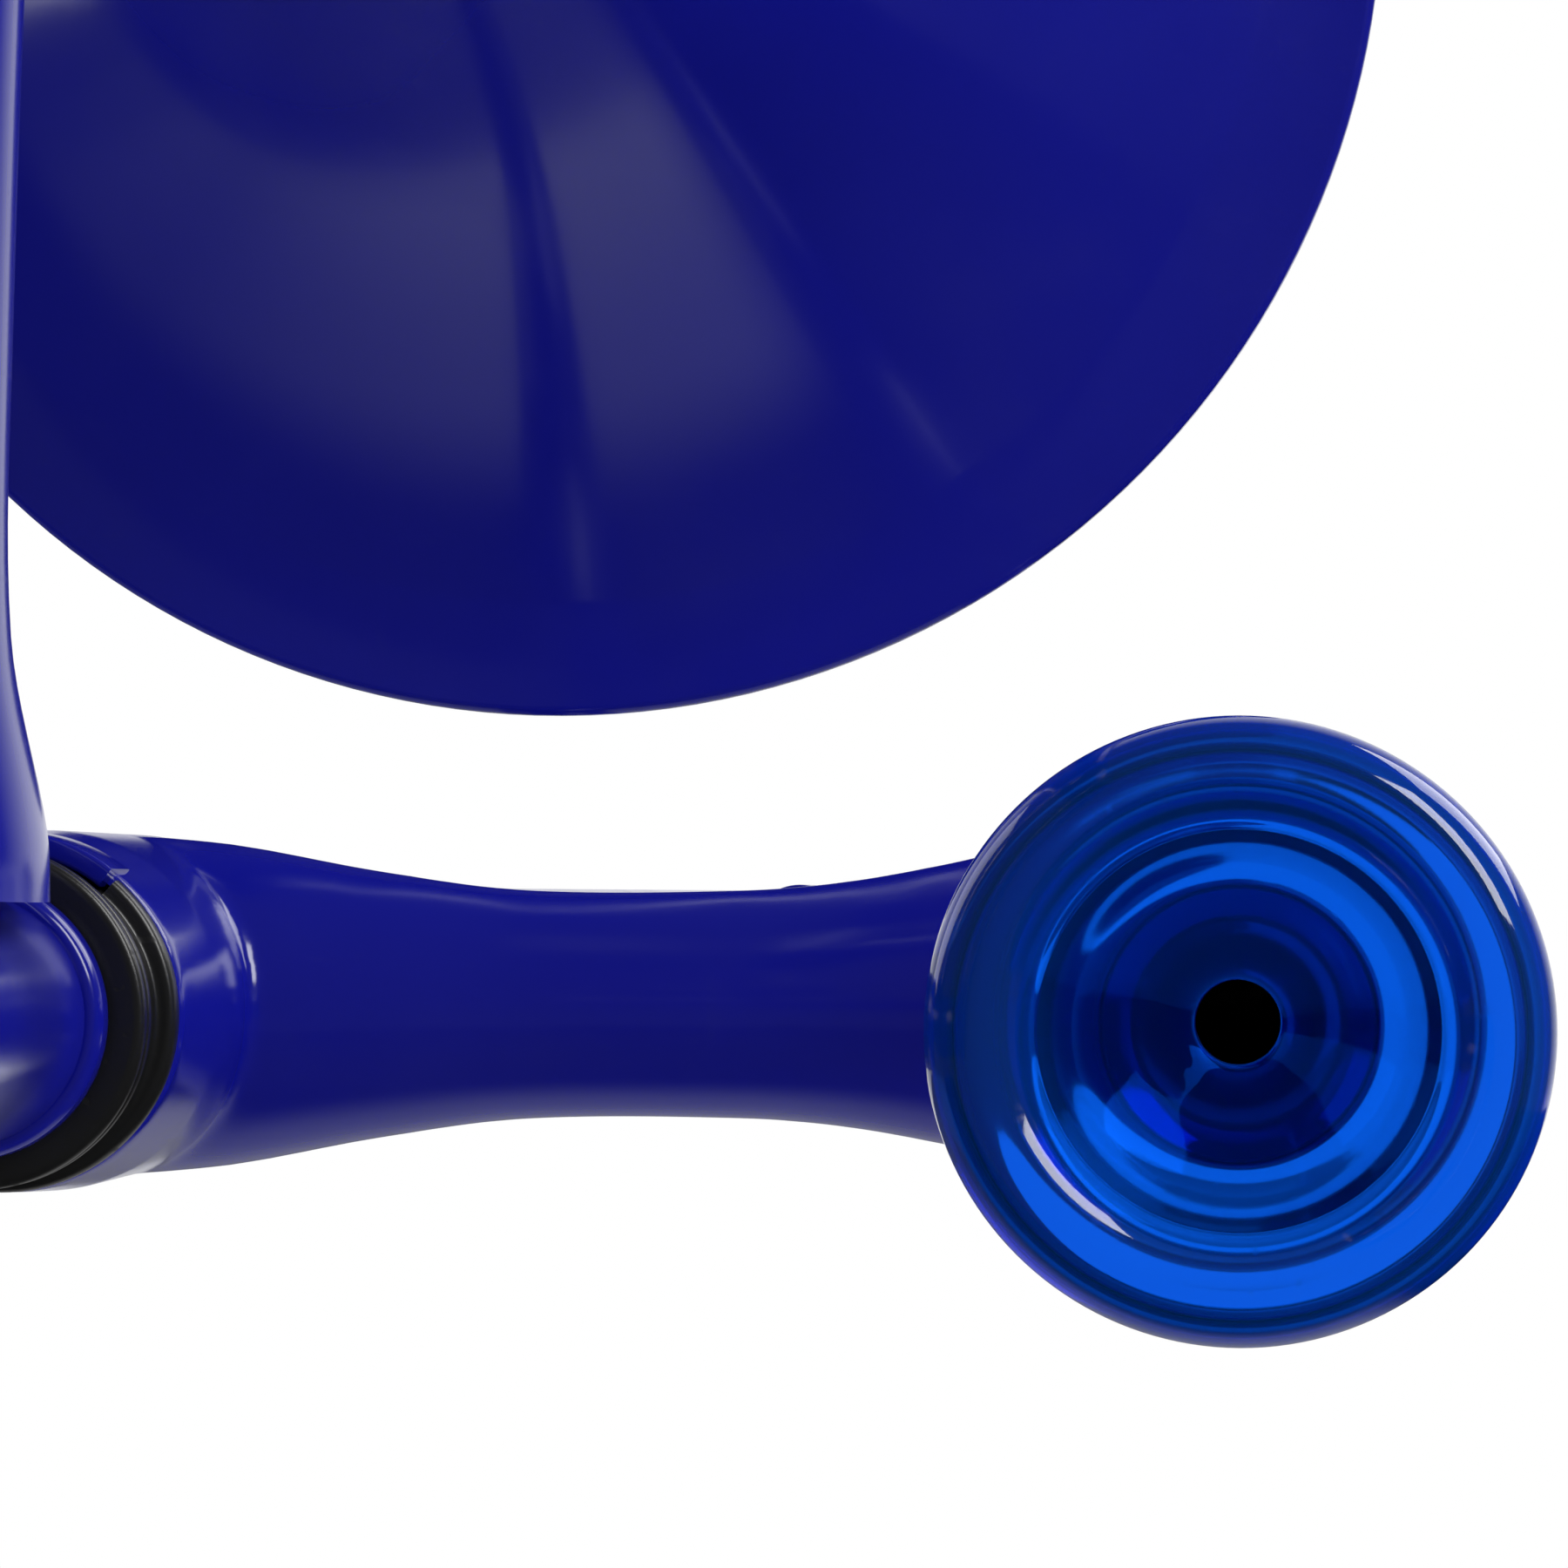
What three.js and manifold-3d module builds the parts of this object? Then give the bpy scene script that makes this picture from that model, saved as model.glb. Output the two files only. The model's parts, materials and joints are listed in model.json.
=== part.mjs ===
// A tenor trombone in B flat, moulded in plastic, with composite inner slide tubes.
// Millimetres. +Y runs forward, from the player to the bell mouth and the slide crook. +Z is up, and the bell
// stands above the slide. The origin is midway between the slide tubes at the grip, where the left hand
// holds it.
import * as THREE from "three";
import { mergeVertices } from "three/addons/utils/BufferGeometryUtils.js";
import Module from "manifold-3d";

const wasm = await Module();
wasm.setup();

// ---- Driving dimensions ----
const slideSpacing = 88; // between the axes of the two slide tubes
const bellHeight = 132.6; // from the joint's axis to the bell's axis
const bellTilt = 2.2; // degrees, the bell section turned on its joint towards the mouthpiece side
const clearance = 0.3; // between pieces that touch

const mouthX = slideSpacing / 2; // axis of the tube with the mouthpiece
const jointX = -slideSpacing / 2; // axis of the tube that the bell section joins

const gripBraceY = 12; // middle of the grip brace
const receiverEndY = -20; // open ends of the mouthpiece receiver and of the joint socket
const rimY = -76; // face of the mouthpiece
const gripEndY = 46; // front end of the grip moulding, where the barrels start
const barrelEndY = 88;
const outerStartY = 56; // rear end of the outer tubes, inside the barrels
const innerEndY = 728;
const crookStartY = 735;
const crookLeg = 25; // straight part of the crook before it bends
const bumperEndY = 820;

const innerTube = { outer: 7.0, bore: 6.35 };
const stocking = { outer: 7.85, length: 90 };
const outerTube = { outer: 9.3, bore: 8.2 };
const barrel = { outer: 11.4, bore: 9.8 };
const ferruleRadius = 10.6; // where the outer tubes join the crook
const sleeveRadius = 11.0; // sockets of the hand brace on the outer tubes

const bell = { rimY: 270, rimRadius: 99, reach: 31, power: 0.8, wall: 1.9, rearY: -205 };
const neck = { front: 8.9, rear: 9.8, bore: 6.8, legBore: 8.3, frontY: -38.3, rearY: -205 };
const bow = { endY: -222, centreY: -255, outer: 10.2, bore: 8.6 };

const tubeSides = 20;
const bellSides = 36;

// ---- Materials ----
const plastic = (name, color, roughness) =>
  new THREE.MeshStandardMaterial({ name, color, roughness, metalness: 0 });
const blue = plastic("blue gloss plastic", 0x141c8c, 0.15);
const clearBlue = plastic("translucent blue plastic", 0x0a46d8, 0.08);
const black = plastic("black satin plastic", 0x101112, 0.4);
const rubber = plastic("black rubber", 0x0c0c0c, 0.7);
const composite = plastic("glass-fibre composite tube", 0x17181a, 0.35);
const steel = new THREE.MeshStandardMaterial({ name: "steel", color: 0xb8babd, roughness: 0.3, metalness: 1 });

// ---- Solids ----
// A body turned about the Y axis. The profile is a list of [radius, y] that closes on itself, or on the axis.
function turned(profile, sides = tubeSides) {
  const points = profile.map(([radius, y]) => new THREE.Vector2(radius, y));
  const onAxis = profile[0][0] === 0;
  if (!onAxis) points.push(points[0].clone());
  return new THREE.LatheGeometry(points, sides);
}

// A plain tube or ring along Y, with a small bevel on its outer edges where one is asked for.
function sleeve(outer, bore, fromY, toY, bevel = 0, sides = tubeSides) {
  const outside =
    bevel > 0
      ? [[outer - bevel, fromY], [outer, fromY + bevel], [outer, toY - bevel], [outer - bevel, toY]]
      : [[outer, fromY], [outer, toY]];
  return turned([[bore, fromY], ...outside, [bore, toY]], sides);
}

function solidOf(geometry) {
  const plain = geometry.clone();
  plain.deleteAttribute("normal");
  plain.deleteAttribute("uv");
  const merged = mergeVertices(plain, 1e-4);
  return new wasm.Manifold(
    new wasm.Mesh({
      numProp: 3,
      vertProperties: merged.attributes.position.array,
      triVerts: new Uint32Array(merged.index.array),
    }),
  );
}

function geometryOf(solid) {
  const mesh = solid.getMesh();
  return new THREE.BufferGeometry()
    .setAttribute("position", new THREE.BufferAttribute(mesh.vertProperties, 3))
    .setIndex(new THREE.BufferAttribute(mesh.triVerts, 1));
}

// Joins the first list of geometries and cuts the second list from them.
function joinAndCut(joined, cuts = []) {
  let solid = solidOf(joined[0]);
  for (const piece of joined.slice(1)) solid = solid.add(solidOf(piece));
  for (const piece of cuts) solid = solid.subtract(solidOf(piece));
  return geometryOf(solid);
}

// A waisted brace along Z from low to high, oval in section: stations are [height, half width in X],
// and depth is the half width in Y as a multiple of that in X.
function waisted(stations, depth) {
  const profile = stations.map(([height, half]) => [half, height]);
  profile.unshift([0, stations[0][0]]);
  profile.push([0, stations[stations.length - 1][0]]);
  return turned(profile)
    .rotateX(Math.PI / 2)
    .scale(1, depth, 1);
}

function rod(radius, fromY, toY, sides = tubeSides) {
  return turned([[0, fromY], [radius, fromY], [radius, toY], [0, toY]], sides);
}

function block(x0, x1, y0, y1, z0, z1) {
  const box = new THREE.BoxGeometry(x1 - x0, y1 - y0, z1 - z0);
  return box.translate((x0 + x1) / 2, (y0 + y1) / 2, (z0 + z1) / 2);
}

// A sector of a ring round the Y axis. Angles are in degrees from +Z towards +X.
function ringSector(inner, outer, fromAngle, toAngle, fromY, toY) {
  const start = THREE.MathUtils.degToRad(90 - toAngle);
  const end = THREE.MathUtils.degToRad(90 - fromAngle);
  const shape = new THREE.Shape();
  shape.absarc(0, 0, outer, start, end, false);
  shape.absarc(0, 0, inner, end, start, true);
  return new THREE.ExtrudeGeometry(shape, { depth: toY - fromY, bevelEnabled: false, curveSegments: 6 })
    .rotateX(Math.PI / 2)
    .translate(0, toY, 0);
}

// Two straight legs joined by a half circle, in the XY plane: the legs run along Y and the bend is at +Y.
class UBend extends THREE.Curve {
  constructor(width, leg) {
    super();
    this.radius = width / 2;
    this.leg = leg;
  }
  getPoint(t, target = new THREE.Vector3()) {
    const arc = Math.PI * this.radius;
    const along = t * (2 * this.leg + arc);
    if (along <= this.leg) return target.set(-this.radius, along, 0);
    if (along >= this.leg + arc) return target.set(this.radius, 2 * this.leg + arc - along, 0);
    const angle = Math.PI - (along - this.leg) / this.radius;
    return target.set(Math.cos(angle) * this.radius, this.leg + Math.sin(angle) * this.radius, 0);
  }
}

function bentTube(width, leg, outer, bore, steps) {
  const section = new THREE.Shape().absarc(0, 0, outer, 0, 2 * Math.PI, false);
  if (bore > 0) section.holes.push(new THREE.Path().absarc(0, 0, bore, 0, 2 * Math.PI, true));
  return new THREE.ExtrudeGeometry(section, {
    steps,
    curveSegments: tubeSides / 2,
    extrudePath: new UBend(width, leg),
  });
}

// ---- Scene graph ----
const trombone = new THREE.Group();
const gripGroup = new THREE.Group();
const outerSlideGroup = new THREE.Group();
const bellGroup = new THREE.Group();
bellGroup.position.x = jointX;
bellGroup.rotation.y = THREE.MathUtils.degToRad(bellTilt);
trombone.add(gripGroup, outerSlideGroup, bellGroup);

function add(parent, name, geometry, material, x = 0, y = 0, z = 0) {
  const mesh = new THREE.Mesh(geometry, material);
  mesh.name = name;
  mesh.position.set(x, y, z);
  parent.add(mesh);
  return mesh;
}

const sides = [
  { name: "mouthpiece_side", x: mouthX },
  { name: "bell_side", x: jointX },
];

// ---- Grip: the brace that the left hand holds, with the mouthpiece receiver and the joint socket ----
const socket = { outer: 13.4, mouth: 12.8, mouthY: -23.5, counterbore: 11.9, bush: 11.3 };
const lug = { inner: 11.6, outer: 13.2, halfAngle: 38 }; // index lug at the top of the socket's mouth
const receiver = { end: 10.2, root: 12.6, bore: 8.3 };
const tubeSeat = innerTube.outer + clearance;

function gripBrace() {
  // Half height of the brace along its span, measured from the joint axis towards the mouthpiece.
  const span = [
    [0, 13.4],
    [10, 12.5],
    [21.5, 10.4],
    [33, 8.9],
    [50, 8.85],
    [58, 9.5],
    [66, 10.9],
    [72, 12],
    [88, 12.2],
  ];
  const bar = waisted(span, 1.05)
    .rotateY(Math.PI / 2)
    .translate(jointX, gripBraceY, 0);
  const jointTower = turned([
    [0, socket.mouthY],
    [socket.mouth - 0.5, socket.mouthY],
    [socket.mouth, socket.mouthY + 0.6],
    [socket.outer, -10],
    [socket.outer, 24],
    [barrel.outer, 38],
    [barrel.outer, gripEndY],
    [0, gripEndY],
  ]).translate(jointX, 0, 0);
  const mouthTower = turned([
    [0, receiverEndY],
    [receiver.end - 0.6, receiverEndY],
    [receiver.end, receiverEndY + 1],
    [receiver.root, -5],
    [receiver.root, 20],
    [barrel.outer, 36],
    [barrel.outer, gripEndY],
    [0, gripEndY],
  ]).translate(mouthX, 0, 0);
  const indexLug = ringSector(lug.inner, lug.outer, -lug.halfAngle, lug.halfAngle, -25.8, -19);
  indexLug.translate(jointX, 0, 0);
  const cuts = [
    rod(socket.counterbore, socket.mouthY - 1, receiverEndY).translate(jointX, 0, 0),
    rod(socket.bush, receiverEndY - 5, 22).translate(jointX, 0, 0),
    rod(tubeSeat, 21, gripEndY + 1).translate(jointX, 0, 0),
    rod(receiver.bore, receiverEndY - 1, 17).translate(mouthX, 0, 0),
    rod(tubeSeat, 16, gripEndY + 1).translate(mouthX, 0, 0),
  ];
  return joinAndCut([joinAndCut([bar, jointTower, mouthTower], cuts), indexLug]);
}
add(gripGroup, "grip_brace", gripBrace(), blue);

// The bush is the black lining of the socket, with a flange over the socket's mouth and a lipped collar
// that stands out.
const bush = { bore: 8.95, lip: 12.1, neck: 11.2, flange: 12.7, flangeY: -25.6, endY: -34 };
function jointBush() {
  const body = turned([
    [bush.bore, bush.endY],
    [bush.lip - 0.6, bush.endY],
    [bush.lip, bush.endY + 0.7],
    [bush.lip, bush.endY + 2.6],
    [bush.neck, bush.endY + 3.4],
    [bush.neck, bush.flangeY],
    [bush.flange - 0.6, bush.flangeY],
    [bush.flange, bush.flangeY + 0.6],
    [bush.flange, socket.mouthY - clearance],
    [socket.counterbore - clearance, socket.mouthY - clearance],
    [socket.counterbore - clearance, receiverEndY - clearance],
    [socket.bush - clearance, receiverEndY - clearance],
    [socket.bush - clearance, 20],
    [bush.bore, 20],
  ]);
  const notchAngle = lug.halfAngle + 3;
  const notch = ringSector(bush.neck + 0.02, 14, -notchAngle, notchAngle, -26, receiverEndY + 1.5);
  return joinAndCut([body], [notch]);
}
add(gripGroup, "joint_bush", jointBush(), black, jointX);

add(gripGroup, "leadpipe", sleeve(8, 6.55, receiverEndY + 1, 16), black, mouthX);

for (const side of sides) {
  const startY = side.x > 0 ? 18 : 24;
  add(
    gripGroup,
    "inner_tube_" + side.name,
    sleeve(innerTube.outer, innerTube.bore, startY, innerEndY),
    composite,
    side.x,
  );
  add(
    gripGroup,
    "stocking_" + side.name,
    sleeve(stocking.outer, innerTube.outer + 0.2, innerEndY - stocking.length, innerEndY - 1),
    composite,
    side.x,
  );
  add(
    gripGroup,
    "slide_cushion_" + side.name,
    sleeve(barrel.bore - clearance, tubeSeat, gripEndY + clearance, gripEndY + 7, 0.6),
    rubber,
    side.x,
  );
}

// The barrels take the ends of the outer slide. The one on the mouthpiece side has the stud of the slide lock.
const stud = { halfAngle: 11, height: 14.6, fromY: 78, toY: 82 };
function slideBarrel() {
  const start = gripEndY + clearance;
  return turned([
    [barrel.bore, start],
    [barrel.outer, start],
    [barrel.outer + 0.5, start + 4],
    [barrel.outer, start + 8],
    [barrel.outer, barrelEndY - 5],
    [barrel.outer + 0.4, barrelEndY - 3],
    [barrel.outer, barrelEndY],
    [barrel.bore, barrelEndY],
  ]);
}
const studAngles = [-stud.halfAngle, stud.halfAngle];
const lockStud = ringSector(barrel.outer - 1, stud.height, ...studAngles, stud.fromY, stud.toY);
add(gripGroup, "barrel_mouthpiece_side", joinAndCut([slideBarrel(), lockStud]), blue, mouthX);
add(gripGroup, "barrel_bell_side", slideBarrel(), blue, jointX);

// ---- Outer slide ----
const handBraceY = 124;
for (const side of sides) {
  add(
    outerSlideGroup,
    "outer_tube_" + side.name,
    sleeve(outerTube.outer, outerTube.bore, outerStartY, crookStartY - clearance),
    blue,
    side.x,
  );
  add(
    outerSlideGroup,
    "crook_ferrule_" + side.name,
    sleeve(ferruleRadius, outerTube.outer + clearance, crookStartY - 22, crookStartY + 6, 0.8),
    blue,
    side.x,
  );
}

function handBrace() {
  const span = [[0, 8.4], [14, 7.8], [26, 6.6], [44, 6.1], [62, 6.6], [74, 7.8], [88, 8.4]];
  const bar = waisted(span, 1.5)
    .rotateY(Math.PI / 2)
    .translate(jointX, handBraceY, 0);
  const sockets = sides.map((side) => {
    const profile = [
      [0, handBraceY - 19],
      [sleeveRadius - 1, handBraceY - 19],
      [sleeveRadius, handBraceY - 17],
      [sleeveRadius, handBraceY + 17],
      [sleeveRadius - 1, handBraceY + 19],
      [0, handBraceY + 19],
    ];
    return turned(profile).translate(side.x, 0, 0);
  });
  const bores = sides.map((side) =>
    rod(outerTube.outer + clearance, handBraceY - 30, handBraceY + 30).translate(side.x, 0, 0),
  );
  return joinAndCut([bar, ...sockets], bores);
}
add(outerSlideGroup, "hand_brace", handBrace(), blue);

const crookSteps = 18;
const drainY = crookStartY + 15; // where the water key's nipple stands on the crook
const drainHole = rod(1.6, 0, 14, 12)
  .rotateX(-Math.PI / 2)
  .translate(jointX, drainY - crookStartY, 0);
add(
  outerSlideGroup,
  "crook",
  joinAndCut([bentTube(slideSpacing, crookLeg, outerTube.outer, 7.6, crookSteps)], [drainHole]),
  blue,
  0,
  crookStartY,
);

const crookTip = crookStartY + crookLeg + slideSpacing / 2 + outerTube.outer;
const bumperBody = turned([
  [0, crookTip - 9],
  [8.4, crookTip - 9],
  [9.2, crookTip - 7],
  [8.6, bumperEndY - 2.5],
  [6.6, bumperEndY],
  [0, bumperEndY],
]);
const crookSpace = bentTube(slideSpacing, crookLeg, outerTube.outer + clearance, 0, crookSteps);
crookSpace.translate(0, crookStartY, 0);
add(outerSlideGroup, "crook_bumper", joinAndCut([bumperBody], [crookSpace]), rubber);

// ---- Slide lock: a collar on the outer slide with a finger that hooks behind the barrel's stud ----
function lockCollar() {
  const ring = sleeve(12.8, outerTube.outer + clearance, barrelEndY + 1, barrelEndY + 14, 1);
  const reachIn = barrel.outer + 1.1;
  const finger = ringSector(reachIn, 15.2, 34, 56, stud.fromY - 2, barrelEndY + 4);
  const foot = ringSector(reachIn, 15.2, 17, 56, stud.fromY - 6, stud.fromY - 1);
  const root = ringSector(12, 15.2, 34, 56, barrelEndY + 1, barrelEndY + 10);
  return joinAndCut([ring, finger, foot, root]);
}
add(outerSlideGroup, "lock_collar", lockCollar(), black, mouthX);

// ---- Water key under the crook, on the bell side ----
const keyPivot = { y: crookStartY - 8, z: -18 };
const keyGroup = new THREE.Group();
keyGroup.position.set(jointX, 0, 0);
outerSlideGroup.add(keyGroup);

const nippleTop = -outerTube.outer - clearance;
const nippleEnd = -14.4;
const nippleProfile = [
  [1.6, -nippleTop],
  [4.4, -nippleTop],
  [3.2, -nippleTop + 1.5],
  [2.6, -nippleEnd],
  [1.6, -nippleEnd],
];
const nipple = joinAndCut(
  [
    turned(nippleProfile, 16)
      .rotateX(-Math.PI / 2)
      .translate(0, drainY, 0),
  ],
  [rod(outerTube.outer + clearance, crookStartY, crookStartY + 40)],
);
add(keyGroup, "key_nipple", nipple, black);

function keySaddle() {
  const base = block(-7, 7, keyPivot.y - 6, keyPivot.y + 6, -13.4, -8);
  const lugs = [-6.6, 4.6].map((x) => block(x, x + 2, keyPivot.y - 3.4, keyPivot.y + 3.4, -20.6, -13));
  const ferruleSpace = rod(ferruleRadius + clearance, keyPivot.y - 10, keyPivot.y + 10);
  const pinHole = rod(1.4, -12, 12, 12)
    .rotateZ(Math.PI / 2)
    .translate(0, keyPivot.y, keyPivot.z);
  return joinAndCut([base, ...lugs], [ferruleSpace, pinHole]);
}
add(keyGroup, "key_saddle", keySaddle(), blue);
add(
  keyGroup,
  "key_pin",
  rod(1.1, -8, 8, 12)
    .rotateZ(Math.PI / 2)
    .translate(0, keyPivot.y, keyPivot.z),
  steel,
);

class SpringCoil extends THREE.Curve {
  // Three turns round X with a straight tail at each end.
  getPoint(t, target = new THREE.Vector3()) {
    const radius = 2.5;
    const pitch = 0.95;
    const turns = 3;
    const tail = 6;
    const coilShare = 0.8;
    const edge = (1 - coilShare) / 2;
    const u = THREE.MathUtils.clamp((t - edge) / coilShare, 0, 1);
    const angle = u * turns * 2 * Math.PI;
    target.set(u * turns * pitch, radius * Math.sin(angle), radius * Math.cos(angle));
    if (t < edge) target.y -= (1 - t / edge) * tail;
    if (t > 1 - edge) target.y += ((t - 1 + edge) / edge) * tail;
    return target;
  }
}
const wire = new THREE.Shape().absarc(0, 0, 0.38, 0, 2 * Math.PI, false);
add(
  keyGroup,
  "key_spring",
  new THREE.ExtrudeGeometry(wire, { steps: 44, curveSegments: 3, extrudePath: new SpringCoil() }),
  steel,
  0.9,
  keyPivot.y,
  keyPivot.z,
);

function keyLever() {
  const hub = sleeve(2.9, 1.4, -4.2, 0, 0.3, 16)
    .rotateZ(Math.PI / 2)
    .translate(0, keyPivot.y, keyPivot.z);
  hub.translate(-4.2, 0, 0);
  const arm = block(-4, -0.4, keyPivot.y + 1.5, drainY, keyPivot.z - 1.6, keyPivot.z + 1.2);
  const cup = rod(5, 0, 3, 20)
    .rotateX(-Math.PI / 2)
    .translate(0, drainY, nippleEnd - 1.4 - 2 * clearance);
  const tail = block(-4, -0.4, -26, -1.5, -1.5, 1.5)
    .rotateX(0.2)
    .translate(0, keyPivot.y, keyPivot.z);
  const paddle = rod(6, -1.4, 1.4, 20)
    .rotateX(Math.PI / 2 + 0.2)
    .scale(1, 1.25, 1)
    .translate(-1, keyPivot.y - 27, keyPivot.z - 5.6);
  const pinHole = rod(1.4, -12, 12, 16)
    .rotateZ(Math.PI / 2)
    .translate(0, keyPivot.y, keyPivot.z);
  return joinAndCut([hub, arm, cup, tail, paddle], [pinHole]);
}
add(keyGroup, "key_lever", keyLever(), black);
add(
  keyGroup,
  "key_pad",
  rod(4.3, 0, 1.4, 20)
    .rotateX(-Math.PI / 2)
    .translate(0, drainY, nippleEnd - clearance),
  rubber,
);

// ---- Bell section, built round the joint axis ----
const tenon = { outer: 8.65, collar: 9.9, bore: 6.6, endY: 16 };
add(
  bellGroup,
  "joint_tenon",
  turned([
    [tenon.bore, -38],
    [tenon.outer, -38],
    [tenon.collar, -37.4],
    [tenon.collar, -35.2],
    [tenon.outer, -34.4],
    [tenon.outer, tenon.endY - 1],
    [tenon.outer - 0.5, tenon.endY],
    [tenon.bore, tenon.endY],
  ]),
  blue,
);

const legMeetsY = -150; // the neck widens inside here, to take the tuning slide's leg
const neckProfile = [
  [neck.legBore, neck.rearY],
  [neck.rear, neck.rearY],
  [neck.front, neck.frontY],
  [neck.bore, neck.frontY],
  [neck.bore, legMeetsY + 20],
  [neck.legBore, legMeetsY + 15],
];
add(bellGroup, "neck_pipe", turned(neckProfile), blue);
add(bellGroup, "neck_ferrule", sleeve(11.8, neck.rear + clearance, neck.rearY - 8, neck.rearY + 22, 1), blue);

// Radius of the bell's inner surface at a distance back from the rim.
function hornRadius(back) {
  return bell.rimRadius * Math.pow(bell.reach / (bell.reach + back), bell.power);
}
function hornProfile() {
  const stations = [475, 380, 300, 230, 170, 120, 82, 54, 34, 20, 11, 4.5];
  const inner = stations.map((back) => [hornRadius(back), bell.rimY - back]);
  const outer = stations.map((back) => {
    const slope = (bell.power * hornRadius(back)) / (bell.reach + back);
    const length = Math.hypot(1, slope);
    return [hornRadius(back) + bell.wall / length, bell.rimY - back - (bell.wall * slope) / length];
  });
  const bead = [
    [bell.rimRadius - 1.4, bell.rimY - 4.4],
    [bell.rimRadius + 0.4, bell.rimY - 4.8],
    [bell.rimRadius + 2.2, bell.rimY - 4],
    [bell.rimRadius + 2.8, bell.rimY - 2.4],
    [bell.rimRadius + 2.4, bell.rimY - 0.8],
    [bell.rimRadius + 1.6, bell.rimY],
    [bell.rimRadius, bell.rimY],
  ];
  return [...outer, ...bead, ...inner.reverse()];
}
add(bellGroup, "bell", turned(hornProfile(), bellSides), blue, 0, 0, bellHeight);
const stemRadius = (y) => hornRadius(bell.rimY - y) + bell.wall;
const ferruleEndY = bell.rearY + 22;
add(
  bellGroup,
  "bell_ferrule",
  sleeve(stemRadius(bell.rearY) + 2.2, stemRadius(ferruleEndY) + clearance, bell.rearY - 8, ferruleEndY, 1),
  blue,
  0,
  0,
  bellHeight,
);

// A brace between the neck pipe and the bell stem, hollowed to fit on both.
function bellBrace(y, halfWidths, depth) {
  const [foot, waist, head] = halfWidths;
  const stations = [
    [8.4, foot],
    [13, foot * 0.96],
    [26, waist * 1.12],
    [46, waist],
    [84, waist],
    [102, waist * 1.15],
    [113, head * 0.93],
    [124, head],
  ];
  const stemSpace = turned([
    [0, y - 30],
    [stemRadius(y - 30) + clearance, y - 30],
    [stemRadius(y + 30) + clearance, y + 30],
    [0, y + 30],
  ]).translate(0, 0, bellHeight);
  const neckSpace = turned([
    [0, neck.rearY],
    [neck.rear + clearance, neck.rearY],
    [neck.front + clearance, neck.frontY],
    [0, neck.frontY],
  ]);
  return joinAndCut([waisted(stations, depth).translate(0, y, 0)], [stemSpace, neckSpace]);
}
add(bellGroup, "front_brace", bellBrace(-54, [9, 5.2, 10], 1.6), blue);
add(bellGroup, "rear_brace", bellBrace(-166, [8.6, 5.2, 9.4], 1.3), blue);

// ---- Tuning slide ----
const tuningGroup = new THREE.Group();
bellGroup.add(tuningGroup);
const bellLeg = { outer: 10.1, bore: 8.8 };
add(tuningGroup, "tuning_leg_neck_side", sleeve(8.0, 6.8, bow.endY + clearance, -140), composite);
add(
  tuningGroup,
  "tuning_leg_bell_side",
  sleeve(bellLeg.outer, bellLeg.bore, bow.endY + clearance, -140),
  composite,
  0,
  0,
  bellHeight,
);
const bowGeometry = bentTube(bellHeight, bow.endY - bow.centreY, bow.outer, bow.bore, 22)
  .rotateZ(Math.PI)
  .rotateY(-Math.PI / 2)
  .translate(0, bow.endY, bellHeight / 2);
add(tuningGroup, "tuning_bow", bowGeometry, blue);
for (const [name, z] of [["neck_side", 0], ["bell_side", bellHeight]]) {
  add(tuningGroup, "bow_collar_" + name, sleeve(11.8, bow.outer + clearance, -236, -216, 0.8), blue, 0, 0, z);
}

const tuningBraceY = -246;
function tuningBrace() {
  const stations = [[4, 8], [14, 7.4], [26, 5.6], [44, 5], [86, 5], [104, 5.6], [116, 7.4], [126, 8]];
  const legs = bentTube(bellHeight, 60, bow.outer + clearance, 0, 24)
    .rotateZ(Math.PI)
    .rotateY(-Math.PI / 2)
    .translate(0, bow.centreY + 60, bellHeight / 2);
  return joinAndCut([waisted(stations, 1.1).translate(0, tuningBraceY, 0)], [legs]);
}
add(tuningGroup, "tuning_brace", tuningBrace(), blue);

function counterweight() {
  const radius = 17;
  const ball = new THREE.SphereGeometry(radius, 20, 12).rotateX(Math.PI / 2).scale(1, 1, 1.15);
  ball.translate(0, tuningBraceY, bellHeight / 2);
  const braceSpace = rod(5 * 1.1 + clearance, -60, 60)
    .rotateX(Math.PI / 2)
    .translate(0, tuningBraceY, bellHeight / 2);
  return joinAndCut([ball], [braceSpace]);
}
add(tuningGroup, "counterweight", counterweight(), blue);

// ---- Mouthpiece: rim, cup, throat and backbore, with a tapered shank ----
const mouthpieceProfile = [
  [2.9, -44],
  [2.95, -49],
  [4.5, -52],
  [7.6, -55.6],
  [10, -60.4],
  [11.5, -66.5],
  [12.4, -71.2],
  [12.8, -73.4],
  [13.6, -74.8],
  [14.9, -75.7],
  [16.4, rimY],
  [17.7, -75.6],
  [18.8, -74.6],
  [19.5, -72.6],
  [19.5, -71],
  [18.6, -70],
  [15.4, -69.5],
  [15, -66.5],
  [13.3, -57.5],
  [10.8, -51],
  [8.8, -43],
  [7.1, -29],
  [6.2, -22],
  [5.75, 8],
  [4.9, 8],
];
add(trombone, "mouthpiece", turned(mouthpieceProfile, 32), clearBlue, mouthX);

export default trombone;
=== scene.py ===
import json
import math

import bmesh
import bpy
from mathutils import Matrix, Vector
from mathutils.geometry import interpolate_bezier


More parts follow.
